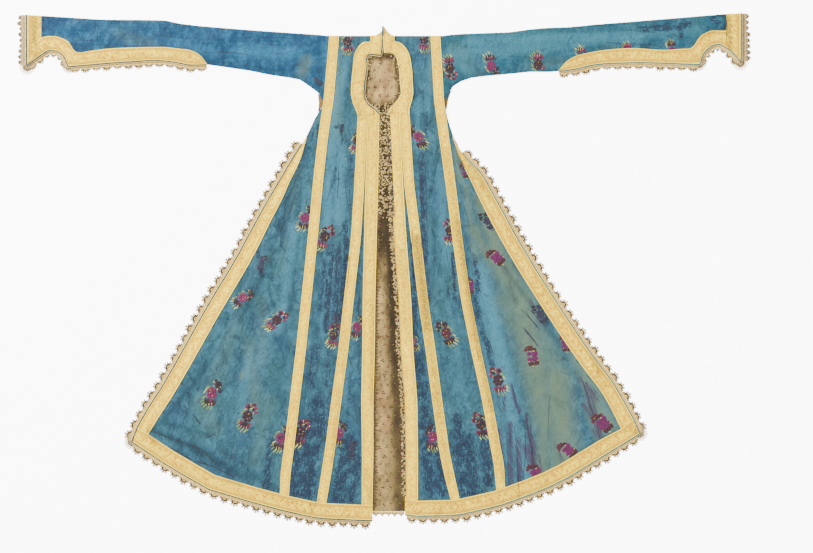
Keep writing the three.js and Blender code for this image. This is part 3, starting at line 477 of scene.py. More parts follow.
# Crumpling of the laid cloth: long soft pleats along it, small ones across
def crumple(side, spots):
    x, y = spots[..., 0] * side["sign"], spots[..., 1]
    slant = x - 0.42 * (y - 250) * np.sign(x) * np.clip((np.abs(x) - 150) / 250, 0, 1)
    height = 1.5 * lumps(slant, y, (26, 190), 3) + 0.8 * lumps(slant + 0.3 * y, y, (12, 70), 4)
    return height + 0.5 * lumps(x, y, (16, 16), 5) + 1.1 * lumps(x, y, (70, 60), 6)


def hollow(side, spots):
    return 0.6 * strokes(marks["deep"], *toGrid(side, spots))


def frontHeight(name, side, spots, rowAt, colAt):
    rows, columns = rowAt[:, None], colAt[None, :]
    drape = np.clip((spots[..., 1] - side["slitDown"]) / 60, 0, 1) * np.clip(columns - sideBraid, 0, 1)
    drape = drape * (rows > neckRows)
    drape = np.maximum(drape, np.clip(rows - hemRow, 0, 1) * np.clip((columns - innerIn) / 3, 0, 1))
    fade = np.clip(columns, 0, 1) * np.clip(lastRow - rows, 0, 1)
    fade = fade * np.where(rows > neckRows, np.clip(sideLine - columns, 0, 1), 1)
    rise = strokes(folds[name], spots[..., 0], spots[..., 1], True) + crumple(side, spots)
    rise = rise - hollow(side, spots)
    return robe["frontTop"] - drape * (robe["frontTop"] - robe["drapedTop"]) + rise * fade


def sleeveHeight(side, spots, colAt):
    out = spots[..., 0]
    drop = np.clip((out - 161) / 90, 0, 1)
    columns = colAt[None, :]
    fade = np.clip(columns * 2, 0, 1) * np.clip((7 - columns) * 2, 0, 1)
    rise = strokes(folds["sleeve"], out, spots[..., 1], True) * drop + crumple(side, spots[..., ::-1])
    rise = rise - hollow(side, spots)
    turn = 1.1 * drop * (1 - np.clip(columns * 4, 0, 1)) ** 2      # the fold at the top of the sleeve
    return robe["frontTop"] + (robe["sleeveTop"] - robe["frontTop"]) * drop + rise * fade - turn


# Millimetres of the frame, of a point out and down, or of one on the marks' grid
def inFrame(out, down):
    return out + robe["shift"][0], robe["shoulderY"] - down + robe["shift"][1]


def fromGrid(across, down):
    return inFrame((across - grid["centre"]) * grid["square"], (down - grid["shoulder"]) * grid["square"])


def inPlace(side, spots, height):
    x, y = inFrame(side["sign"] * spots[..., 0], spots[..., 1])
    return np.stack([x, y, np.broadcast_to(height, x.shape)], axis=-1)


# Makes an object of points in millimetres; uv and marks are per point
def makePiece(name, points, faces, material, uv=None, values=None, sharp=50):
    mesh = bpy.data.meshes.new(name)
    mesh.from_pydata((np.asarray(points) * 0.001).tolist(), [], faces)
    corners = np.zeros(len(mesh.loops), int)
    mesh.loops.foreach_get("vertex_index", corners)
    if uv is not None:
        layer = mesh.uv_layers.new(name="weave")
        layer.data.foreach_set("uv", np.asarray(uv, float)[corners].ravel())
    for key, value in (values or {}).items():
        layer = mesh.attributes.new(key, "FLOAT", "POINT")
        layer.data.foreach_set("value", np.asarray(value, np.float32).ravel())
    mesh.shade_smooth()
    mesh.set_sharp_from_angle(angle=math.radians(sharp))
    piece = bpy.data.objects.new(name, mesh)
    bpy.context.collection.objects.link(piece)
    for m in material if isinstance(material, list) else [material]:
        mesh.materials.append(m)
    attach(piece, "root")
    return piece


# A closed sheet on a grid of top points, with its thickness downwards
def makeSheet(name, top, thickness, material, uv=None, values=None):
    n, m = top.shape[:2]
    lower = top - np.array([0, 0, thickness])
    index = np.arange(n * m).reshape(n, m)
    a, b, c, d = (index[:-1, :-1], index[1:, :-1], index[1:, 1:], index[:-1, 1:])
    quads = np.stack([a, b, c, d], axis=-1).reshape(-1, 4)
    rim = np.concatenate([index[:, 0], index[-1, 1:], index[:-1, -1][::-1], index[0, 1:-1][::-1]])
    after = np.roll(rim, -1)
    p, q, r = top[0, 0], top[-1, 0], top[-1, -1]
    turned = (q[0] - p[0]) * (r[1] - p[1]) - (q[1] - p[1]) * (r[0] - p[0]) < 0
    total = n * m
    wall = np.stack([rim, rim + total, after + total, after], axis=-1)
    faces = np.concatenate([quads, quads[:, ::-1] + total, wall])
    if turned:
        faces = faces[:, ::-1]
    both = lambda v: None if v is None else np.concatenate([np.asarray(v).reshape(total, -1)] * 2)
    points = np.concatenate([top.reshape(-1, 3), lower.reshape(-1, 3)])
    values = {key: both(value) for key, value in (values or {}).items()}
    return makePiece(name, points, faces.tolist(), material, both(uv), values)


def toLinear(colour):
    values = [int(colour[i:i + 2], 16) / 255 for i in (1, 3, 5)]
    return [v / 12.92 if v <= 0.04045 else ((v + 0.055) / 1.055) ** 2.4 for v in values] + [1.0]


# A material in the making: nodes for its patterns, and colours painted one over the other
class Look:
    def __init__(self, name, shader):
        self.material = bpy.data.materials.new(name)
        self.material.use_nodes = True
        self.tree = self.material.node_tree
        self.tree.nodes.clear()
        self.surface = self.add("BsdfPrincipled", shader)
        self.add("OutputMaterial", links={"Surface": self.surface.outputs[0]})
        self.place = self.add("TexCoord").outputs["Object"]

    def add(self, kind, settings=None, links=None):
        node = self.tree.nodes.new("ShaderNode" + kind)
        for key, value in (settings or {}).items():
            if hasattr(node, key):
                setattr(node, key, value)
            else:
                node.inputs[key].default_value = value
        for key, source in (links or {}).items():
            self.tree.links.new(source, node.inputs[key])
        return node

    def feed(self, socket, value):
        if isinstance(value, bpy.types.NodeSocket):
            self.tree.links.new(value, socket)
        else:
            socket.default_value = toLinear(value) if isinstance(value, str) else value

    def math(self, operation, *values):
        node = self.add("Math", {"operation": operation})
        for i, value in enumerate(values):
            self.feed(node.inputs[i], value)
        return node.outputs[0]

    def times(self, first, *others):
        for other in others:
            first = self.math("MULTIPLY", first, other)
        return first

    # sizes are the pattern's millimetres along each axis
    def pattern(self, source, size, kind="TexNoise", **settings):
        mapping = self.add("Mapping", {"Scale": [1000 / s for s in size]}, {"Vector": source})
        return self.add(kind, {"Scale": 1.0, **settings}, {"Vector": mapping.outputs[0]})

    def noise(self, source, size, detail=2.0, roughness=0.5, distortion=0.0):
        settings = {"Detail": detail, "Roughness": roughness, "Distortion": distortion}
        return self.pattern(source, size, **settings).outputs[0]

    def ramp(self, value, low, high):
        settings = {"From Min": low, "From Max": high, "clamp": True}
        return self.add("MapRange", settings, {"Value": value}).outputs[0]

    def mark(self, name):
        return self.add("Attribute", {"attribute_name": name}).outputs["Fac"]

    def weave(self):
        return self.add("UVMap", {"uv_map": "weave"}).outputs[0]

    def blend(self, share, first, second):
        node = self.add("Mix", {"data_type": "RGBA"})
        for i, value in ((0, share), (6, first), (7, second)):
            self.feed(node.inputs[i], value)
        self.colour = node.outputs[2]

    def paint(self, share, colour):
        self.blend(share, self.colour, colour)

    def paintRamp(self, value, low, high, most, colour):
        self.paint(self.times(self.ramp(value, low, high), most), colour)

    def finish(self, height, strength, distance):
        bump = self.add("Bump", {"Strength": strength, "Distance": distance}, {"Height": height})
        self.feed(self.surface.inputs["Base Color"], self.colour)
        self.feed(self.surface.inputs["Normal"], bump.outputs[0])
        return self.material


silk = {
    "ground": "#1f4152", "deep": "#112834", "light": "#366979", "green": "#2a5155",
    "indigo": "#131a2a", "worn": "#1f364e", "plum": "#31293d", "stain": "#4a5c49", "creaseShade": "#09171f",
    "roughness": 0.66, "specular": 0.14, "sheen": 0.035,
}
sleeveTints = {
    "left": {
        "ground": "#0c3452", "green": "#103e57", "light": "#276683", "deep": "#082338", "worn": "#173b59"},
    "right": {
        "ground": "#133e52", "green": "#1c4b52", "light": "#2f6674", "deep": "#0c2a38", "worn": "#183d53"},
}


# Satin-faced silk: fine ribs along the warp, cloudy with age, worn to a darker ground
def makeSilk(name, tint=None):
    tone = {**silk, **(tint or {})}
    look = Look(name, {"Roughness": tone["roughness"], "Specular IOR Level": tone["specular"],
                       "Sheen Weight": tone["sheen"], "Sheen Roughness": 0.5})
    place, weave = look.place, look.weave()
    cloud = look.noise(place, (130, 170, 150), 3, 0.6)
    small = look.noise(place, (26, 38, 30), 4, 0.65)
    crumpled = look.noise(place, (30, 42, 34), 6, 0.72, 1.1)
    streak = look.noise(weave, (4, 110, 5), 4, 0.75)
    fleck = look.noise(weave, (3.4, 20, 5), 4, 0.85)
    ladder = look.noise(weave, (11, 3.8, 5), 3, 0.8)
    grain = look.noise(weave, (4.5, 9, 4), 5, 0.9)
    bars = look.noise(weave, (4.5, 60, 5), 5, 0.8, 0.3)
    look.blend(look.ramp(cloud, 0.36, 0.66), tone["ground"], tone["green"])
    look.paintRamp(small, 0.44, 0.7, 0.7, tone["light"])
    # dark and light patches from the same noise as the crumple bump: painted shade and light of the crumpled
    # cloth
    look.paintRamp(crumpled, 0.5, 0.66, 0.75, tone["deep"])
    look.paintRamp(crumpled, 0.44, 0.3, 0.5, tone["light"])
    look.paintRamp(streak, 0.42, 0.68, 0.5, tone["deep"])
    look.paint(look.times(look.mark("fade"), 0.9), tone["light"])
    look.paintRamp(grain, 0.5, 0.66, 0.75, tone["deep"])
    look.paintRamp(grain, 0.46, 0.3, 0.5, tone["worn"])
    # broken network of fine creases, painted as dark lines of shade
    bend = look.pattern(place, (24, 24, 24), Detail=3.0)
    moved = look.add("VectorMath", {"operation": "MULTIPLY_ADD"}, {0: bend.outputs[1], 2: place})
    moved.inputs[1].default_value = (0.05, 0.05, 0.05)
    shadeNet = look.pattern(moved.outputs[0], (46, 74, 50), "TexVoronoi", feature="DISTANCE_TO_EDGE").outputs[0]
    creaseShade = look.times(look.ramp(shadeNet, 0.045, 0.0), look.ramp(small, 0.4, 0.6))
    look.paint(look.times(creaseShade, 0.55), tone["creaseShade"])
    look.paint(look.times(look.mark("stain"), look.ramp(small, -0.3, 0.6)), tone["stain"])
    # worn patches, where the ground's picks show through
    patches = look.noise(weave, (22, 30, 9), 4, 0.6)
    wear = look.times(look.mark("wear"), look.ramp(patches, 0.3, 0.52))
    under = look.math("MAXIMUM", fleck, look.math("SUBTRACT", ladder, 0.03))
    pick = look.ramp(look.math("ADD", under, look.times(wear, 0.15)), 0.6, 0.625)
    look.paint(look.times(wear, 0.3), tone["worn"])
    look.paint(look.times(wear, look.ramp(fleck, 0.45, 0.36), 0.5), tone["light"])
    look.paint(look.times(pick, look.math("MINIMUM", look.times(wear, 3.0), 0.85)), tone["indigo"])
    plum = look.mark("plum")
    bar = look.ramp(look.math("ADD", bars, look.times(plum, 0.2)), 0.54, 0.68)
    look.paint(look.times(bar, look.math("MINIMUM", look.times(plum, 2.0), 0.9)), tone["plum"])
    # painted shade in the hollows of the folds, from the deep marks
    look.paint(look.times(look.mark("deep"), 0.7), tone["creaseShade"])
    # ribs of 0.2 mm, drawn coarser so that they show
    ribs = look.noise(weave, (1.6, 9, 3))
    crinkle = look.noise(place, (7, 9, 8), 4, 0.65)
    creased = look.math("ADD", look.times(crinkle, 0.5), look.times(crumpled, 1.6))
    return look.finish(look.math("ADD", look.times(ribs, 0.1), creased), 0.7, 0.004)


galloon = {
    "ground": "#ffce10", "pale": "#ffe430", "tan": "#8c661c", "band": "#c08c1c", "selvedge": "#ffe640",
    "lineAndEdgeShade": "#664a1e", "soilAndShade": "#5a4828", "shine": "#ffd470", "roughness": 0.6, "pick": 12.0,
}


# Silk and gilt-thread galloon: a mottled woven figure between tan bands and pale selvedges
def makeGalloon(name, figure):
    tone = galloon
    look = Look(name, {"Roughness": tone["roughness"], "Specular IOR Level": 0.25,
                       "Specular Tint": toLinear(tone["shine"])})
    place, weave = look.place, look.weave()
    split = look.add("SeparateXYZ", links={0: weave})
    across, along = split.outputs[0], split.outputs[1]
    cloud = look.noise(place, (45, 60, 50), 3, 0.6)
    patch = look.noise(place, (9, 11, 9), 3, 0.6)
    cross = look.noise(weave, (0.6, 7, 3), 3, 0.7)
    mottle = look.noise(place, (3.6, 4.4, 4), 4, 0.75)
    look.blend(look.ramp(patch, 0.42, 0.62), tone["ground"], tone["pale"])
    look.paintRamp(patch, 0.45, 0.3, figure, tone["band"])
    look.paintRamp(cloud, 0.5, 0.75, 0.35, tone["band"])
    look.paintRamp(cross, 0.48, 0.6, 0.85, tone["band"])
    # the figure: slanting picks that meet in the middle of the braid
    centred = look.math("ABSOLUTE", look.math("SUBTRACT", across, 0.5))
    phase = look.math("ADD", look.times(along, 1000 / tone["pick"]), look.times(centred, 4.0))
    pick = look.math("FRACT", look.math("ADD", phase, look.times(patch, 3.0)))
    inside = look.ramp(centred, 0.3, 0.24)
    lozenge = look.times(look.ramp(pick, 0.5, 0.66), look.ramp(patch, 0.62, 0.45), inside)
    look.paint(look.times(lozenge, 0.75 * figure), tone["tan"])
    look.paint(look.times(look.ramp(centred, 0.25, 0.29), figure, 0.8), tone["band"])
    look.paintRamp(mottle, 0.5, 0.62, 0.45 + 0.35 * figure, tone["tan"])
    inner = look.times(look.math("COMPARE", centred, 0.27, 0.012), figure)
    lines = look.math("MAXIMUM", look.math("COMPARE", centred, 0.395, 0.022), inner)
    look.paint(look.times(lines, 0.55), tone["lineAndEdgeShade"])
    look.paintRamp(centred, 0.42, 0.44, 0.75, tone["selvedge"])
    # painted shadow along both edges of the braid, where it meets the cloth
    look.paintRamp(centred, 0.47, 0.495, 0.8, tone["lineAndEdgeShade"])
    # soiled places, and painted shade of folds, from the soil marks
    look.paint(look.times(look.mark("soilAndShade"), look.ramp(mottle, 0.3, 0.55)), tone["soilAndShade"])
    # picks of 0.5 mm, drawn at 2 mm
    relief = look.math("ADD", look.times(look.noise(weave, (0.04, 2.2, 3)), 0.6), mottle)
    return look.finish(look.math("ADD", look.times(lozenge, -0.5), relief), 0.5, 0.0009)


# Plain thread or cotton, mottled between two colours
def makeThread(name, first, second, size, roughness):
    look = Look(name, {"Roughness": roughness, "Specular IOR Level": 0.3})
    mottle = look.noise(look.place, (size, size * 1.2, size), 3, 0.7)
    look.blend(look.ramp(mottle, 0.35, 0.65), first, second)
    return look.finish(look.noise(look.place, (1.2, 1.4, 1.2)), 0.4, 0.0006)


bodySilk = makeSilk("satin silk")
sleeveSilks = {"left": makeSilk("sleeve silk", sleeveTints["left"]),
               "right": makeSilk("right sleeve silk", sleeveTints["right"])}
narrowGalloon = makeGalloon("narrow galloon", 0.5)
edgeGalloon = makeGalloon("edge galloon", 0.85)
# material, two colours, size of their mottle in millimetres and roughness
threadLooks = {
    "lace": ("gilt lace thread", "#b59c65", "#8e7444", 5, 0.55),
    "laceHeader": ("gilt lace heading", "#e0bc60", "#aa8a48", 4, 0.55),
    "laceGround": ("brown lace net", "#504028", "#2a200b", 4, 0.8),
    "frontLace": ("front lace thread", "#bda566", "#8d733e", 3, 0.55),
    # a dark strip that stands for the shadow under the closing lace
    "shadeNet": ("dark strip of painted shadow", "#322817", "#1c160a", 6, 0.8),
    "frontNet": ("tan lace net", "#5c4624", "#2e2310", 4, 0.8),
    "piping": ("dark piping cord", "#123139", "#0d232a", 20, 0.5),
    "tealPiping": ("teal piping cord", "#235a5c", "#174047", 20, 0.5),
    "paleCord": ("pale edging cord", "#e4cc8c", "#c8ae6c", 12, 0.55),
    "cotton": ("tan cotton", "#7a5c2b", "#5e441d", 9, 0.8),
    "maroon": ("maroon silk", "#2b0512", "#150308", 4, 0.6),
    "magenta": ("magenta silk", "#640038", "#3c0028", 4, 0.6),
    "red": ("red silk", "#420815", "#27050d", 4, 0.6),
    # dark thread of the flowers' outlines, also the dark lines of painted crease shade
    "inkAndCreaseShade": ("indigo thread and crease shade", "#0e0c16", "#16090f", 4, 0.7),
    "leaf": ("yellow-green silk", "#7c8028", "#465422", 5, 0.6),
    "pale": ("pale silk", "#b8b04c", "#868238", 4, 0.6),
    "ghost": ("worn violet silk", "#1a1227", "#121a27", 3, 0.6),
    "faded": ("faded purple silk", "#520036", "#340030", 6, 0.65),
    "printRed": ("printed red", "#4e1117", "#360c0b", 5, 0.8),
}
threads = {key: makeThread(*settings) for key, settings in threadLooks.items()}
print("materials made")

fronts = {name: frontPoints(side) for name, side in sides.items()}
sleeves = {name: sleevePoints(side, fronts[name]) for name, side in sides.items()}
frontSharp = lambda r, c: r in (neckRows, hemRow) or (r == 2 and c == 0)
silkMarks = ("wear", "plum", "stain", "fade", "deep")
# widest cells along and across: the pleats run along, so cells are longer that way
clothStep, braidStep, neckStep, pathStep = (8.5, 4.2), (6.0, 3.0), 3.0, 5.0
silkPieces, braidPieces = {}, {}


def marksOn(side, spots, names):
    found = {name: strokes(marks[name], *toGrid(side, spots)) for name in names}
    if "wear" in found:
        found["wear"] = np.minimum(found["wear"] * 1.5, 1)
    return found


# Spots, rows and columns of a fine grid on a front or on a sleeve, and its heights
def frontGrid(name, rows, columns, step):
    spots, rowAt, colAt = refine(fronts[name], rows, columns, step, frontSharp)
    return spots, rowAt, colAt, frontHeight(name, sides[name], spots, rowAt, colAt)


def sleeveGrid(name, rows, columns, step):
    side, (points, stations) = sides[name], sleeves[name]
    ends = (side["slitOut"], side["notchOut"], side["cuffOut"])
    isSharp = lambda i, j: stations[i] in ends and j > 4
    spots, rowAt, colAt = refine(points, rows, columns, step, isSharp)
    return spots, rowAt, colAt, sleeveHeight(side, spots, colAt)


# Silk on a run of cells: the warp leans with the skirt, and runs along the sleeve
def laySilk(name, part, gridOf, rows, columns, material, lean=None):
    side = sides[name]
    spots, rowAt, colAt, height = gridOf(name, rows, columns, clothStep)
    across, along = spots[..., 1] * 0.001, spots[..., 0] * 0.001
    if lean is not None:
        across = (spots[..., 0] - np.clip(spots[..., 1] - 300, 0, 1200) * lean) * 0.001
        along = spots[..., 1] * 0.001
    uv = np.stack([across, along], axis=-1)
    top = inPlace(side, spots, height)
    return makeSheet(name + part, top, robe["cloth"], material, uv, marksOn(side, spots, silkMarks))


silkRuns = [
    ("front_yoke", "FrontYoke", (0, neckRows), (edge, outerSeam), 0.12),
    ("front_panel", "FrontPanel", (neckRows, lastRow), (innerSeam, outerSeam), 0.12),
    ("centre_gore", "CentreGore", (neckRows, lastRow), (edge, innerSeam), 0.12),
    ("side_gore", "SideGore", (neckRows - 1, lastRow), (outerSeam, sideLine), 0.38),
]
for name in sides:
    for node, part, rows, columns, lean in silkRuns:
        silkPieces[f"{name}_{node}"] = laySilk(name, part, frontGrid, rows, columns, bodySilk, lean)
    rows = (0, len(sleeves[name][0]) - 1)
    sleeve = laySilk(name, "SleeveFront", sleeveGrid, rows, (0, 7), sleeveSilks[name])
    silkPieces[f"{name}_sleeve_front"] = sleeve
print("silk laid", sum(len(p.data.polygons) for p in silkPieces.values()))


# Galloon on a run of cells, with its own coordinates across (0 to 1) and along it (metres)
def layBraid(name, part, gridOf, rows, columns, lengthwise, material):
    side, atNeck = sides[name], part == "NeckBraid"
    step = neckStep if atNeck else braidStep if lengthwise else braidStep[::-1]
    spots, rowAt, colAt, height = gridOf(name, rows, columns, step)
    middle = spots[:, spots.shape[1] // 2] if lengthwise else spots[spots.shape[0] // 2]
    along = np.concatenate([[0], np.cumsum(np.linalg.norm(np.diff(middle, axis=0), axis=1))]) * 0.001
    if lengthwise:
        across = (colAt - columns[0]) / (columns[1] - columns[0])
        uv = np.stack(np.broadcast_arrays(across[None, :], along[:, None]), axis=-1)
    else:
        across = (rowAt - rows[0]) / (rows[1] - rows[0])
        uv = np.stack(np.broadcast_arrays(across[:, None], along[None, :]), axis=-1)
    x, y = spots[..., 0], spots[..., 1]
    pucker = 0.35 * lumps(x, y, (9, 9), 8)
    if atNeck:
        around = np.arctan2(y - 120, x) * 70
        pucker = pucker + 1.9 * lumps(around, np.hypot(x, (y - 120) * 0.7), (5, 60), 9)
    top = inPlace(side, spots, height + robe["braidLift"] + robe["braid"] + pucker)
    soilAndShade = marksOn(side, spots, ("soilAndShade",))
    return makeSheet(name + part, top, robe["braid"] * 0.9, material, uv, soilAndShade)


frontRuns = [
    ("neck_braid", "NeckBraid", (0, neckRows), (edge, innerOut), True, narrowGalloon),
    ("centre_braid", "CentreBraid", (neckRows, hemRow), (edge, centreBraid), True, narrowGalloon),
    ("inner_braid", "InnerBraid", (neckRows, hemRow), (innerIn, innerOut), True, narrowGalloon),
    ("outer_braid", "OuterBraid", (0, hemRow), (outerIn, outerOut), True, narrowGalloon),
    ("side_braid", "SideBraid", (neckRows + 1, hemRow), (sideBraid, sideLine), True, edgeGalloon),
    ("hem_braid", "HemBraid", (hemRow, lastRow), (edge, sideLine), False, edgeGalloon),
]
for name, side in sides.items():
    stations = sleeves[name][1]
    cuff, slit, end = stations.index(side["cuffOut"]), stations.index(side["slitOut"]), len(stations) - 1
    sleeveRuns = [("cuff_braid", "CuffBraid", (cuff, end), (0, 6), False, edgeGalloon),
                  ("slit_braid", "SlitBraid", (slit, end), (6, 7), True, edgeGalloon)]
    for gridOf, runs in ((frontGrid, frontRuns), (sleeveGrid, sleeveRuns)):
        for node, part, *run in runs:
            braidPieces[f"{name}_{node}"] = layBraid(name, part, gridOf, *run)
print("galloon laid")


# A flat closed plate of an outline, with coordinates across and along it
def makePlate(name, outline, low, high, material, uvOf, shadeOf):
    flat = [Vector((x, y, 0)) for x, y in outline]
    faces = [list(t) for t in tessellate_polygon([flat])]
    n = len(outline)
    turn = sum(a[0] * b[1] - b[0] * a[1] for a, b in zip(outline, outline[1:] + outline[:1]))
    a, b, c = (flat[i] for i in faces[0])
    if (b - a).cross(c - a).z < 0:
        faces = [f[::-1] for f in faces]
    around = [(i, (i + 1) % n) if turn > 0 else ((i + 1) % n, i) for i in range(n)]
    points = [(x, y, high) for x, y in outline] + [(x, y, low) for x, y in outline]
    rim = [[i, i + n, j + n, j] for i, j in around]
    faces += [[i + n for i in f[::-1]] for f in faces] + rim
    uv = [uvOf(x, y) for x, y in outline] * 2
    values = {"soilAndShade": [shadeOf(x, y) for x, y in outline] * 2}
    return makePiece(name, points, faces, material, uv, values)


for name, side in sides.items():
    outline = [inFrame(side["sign"] * out, down) for out, down in side["collar"]]
    middle = outline[0]
    uvOf = lambda x, y: (0.2 + abs(x - middle[0]) * 0.015, (y - middle[1]) * 0.001)
    # painted shade: the collar darkened a little all over and most towards its tip
    shadeOf = lambda x, y: 0.25 + 0.5 * (y > middle[1] + 12)
    braidPieces[f"{name}_collar"] = makePlate(
        name + "Collar", outline, 2.9, 5.2, edgeGalloon, uvOf, shadeOf)


# A back layer as the frame has it, its underside raised off the floor
def copyOfNode(name, node, material):
    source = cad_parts[node].data
    points = np.array([v.co for v in source.vertices]) * 1000
    points[:, 2] = np.where(points[:, 2] < 0.05, points[:, 2] + 0.3, points[:, 2])
    keys, kept, index = {}, [], []
    for p in points:
        key = tuple(np.round(p, 2))
        if key not in keys:
            keys[key] = len(kept)
            kept.append(p)
        index.append(keys[key])
    faces = [[index[v] for v in f.vertices] for f in source.polygons]
    uv = [(p[0] * 0.001, p[1] * 0.001) for p in kept]
    return makePiece(name, kept, faces, material, uv)


backPieces = {"back_panel": copyOfNode("backPanel", "back_panel", bodySilk)}
for name in sides:
    node = f"{name}_sleeve_back"
    backPieces[node] = copyOfNode(name + "SleeveBack", node, sleeveSilks[name])

# Lining, which shows inside the neck and down the open front. Sides: down, left and right edge
lining = {
    "ground": "#b29559", "warm": "#766139", "shadow": "#1c170c", "rose": "#865339", "sprig": 24.0,
    "top": -10, "bottom": 1425, "rows": 240, "columns": 25, "thickness": 0.7,
    "sides": [(-10, -4, 4), (4, -34, 32), (40, -76, 72), (90, -82, 78), (180, -84, 80), (226, -62, 62),
              (250, -50, 54), (792, -62, 82), (1425, -68, 104)],
    "neckShadows": [(-44, 66, 40, 60, 24, .7), (10, 62, 40, 66, 22, .95), (34, 70, 44, 130, 14, .8),
                    (26, 76, 20, 104, 12, .5)],
    "roses": [(8, 120, 0, 190, 30, .5), (20, 70, 14, 110, 12, .6), (0, 1080, 8, 1180, 30, .5)],
}
look = Look("printed cotton lining", {"Roughness": 0.85, "Specular IOR Level": 0.15})
cloud = look.noise(look.place, (40, 60, 40), 3, 0.6)
look.blend(look.ramp(cloud, 0.35, 0.65), lining["ground"], lining["warm"])
look.paintRamp(look.noise(look.place, (14, 22, 16), 4, 0.7, 0.8), 0.5, 0.7, 0.7, lining["shadow"])
look.paint(look.times(look.mark("rose"), 0.6), lining["rose"])
look.paint(look.mark("shadow"), lining["shadow"])
liningCotton = look.finish(look.noise(look.place, (1.6, 1.6, 1.6)), 0.3, 0.0006)

downs = np.arange(lining["top"], lining["bottom"] + 0.1, (lining["bottom"] - lining["top"]) / lining["rows"])
lefts, rights = (np.array([read(lining["sides"], d, column) for d in downs]) for column in (1, 2))
x = lefts[:, None] + (rights - lefts)[:, None] * np.linspace(0, 1, lining["columns"])[None, :]
y = np.broadcast_to(downs[:, None], x.shape)
# how far a point is from the fronts' edges, as a share of the opening, and from the neck's edge
closingAt = lambda name: np.array([read(sides[name]["skirt"], max(d, sides[name]["skirt"][0][0]), 1)
                                   for d in downs])[:, None]
toRight = np.clip((x + closingAt("left")) / (closingAt("right") + closingAt("left")), 0, 1)
neckRowsOf = {name: sorted((n[1], n[0]) for n in side["neck"][2:]) for name, side in sides.items()}
neckEdge = np.array([[read(neckRowsOf[name], min(max(d, 62), 230)) for name in sides] for d in downs])
inside = np.minimum(x + neckEdge[:, :1], neckEdge[:, 1:] - x)
lower = np.clip((y - 760) / 560, 0, 1)
under = 0.25 + (0.75 - 0.15 * lower) * np.clip((toRight - 0.3 - 0.1 * lower) / 0.35, 0, 1)
shadow = np.where(y > 225, under, 0)
ragged = np.clip((y - 165 - 20 * lumps(x, y, (9, 12), 31)) / 40, 0, 1)
for more in (ragged * 0.95 * (1 - np.clip((y - 640) / 200, 0, 1)),
             (y > 225) * 0.75 * np.clip((0.16 - toRight) / 0.12, 0, 1),
             strokes(lining["neckShadows"], x, y),
             (y < 232) * 0.95 * np.clip(1 - inside / 30, 0, 1) ** 1.6):
    shadow = np.maximum(shadow, more)
values = {"shadow": np.clip(shadow, 0, 0.97), "rose": strokes(lining["roses"], x, y)}
z = robe["liningTop"] - 0.9 + 0.5 * lumps(x, y, (22, 90), 11) + 0.3 * lumps(x, y, (9, 30), 12)
top = np.stack([*inFrame(x, y), z + 0.2], axis=-1)
backLining = makeSheet("backLining", top, lining["thickness"], liningCotton, None, values)
print("back and lining laid")


def dropper(pieces):
    points, faces = [], []
    for piece in pieces:
        start = len(points)
        points += [v.co.copy() for v in piece.data.vertices]
        faces += [[start + v for v in f.vertices] for f in piece.data.polygons]
    tree = BVHTree.FromPolygons(points, faces)

    def heightAt(x, y):
        hit = tree.ray_cast(Vector((x * 0.001, y * 0.001, 1)), Vector((0, 0, -1)))
        return None if hit[0] is None else hit[0].z * 1000
    return heightAt


# The threads of a spray: bloom, smaller blossom and bud
sprayThreads = {
    "maroon": ("maroon", "magenta", "red"), "red": ("red", "maroon", "maroon"),
    "magenta": ("magenta", "maroon", "maroon"), "faded": ("faded", "red", "red"),
    "ghost": ("ghost", "ghost", "inkAndCreaseShade"),
}


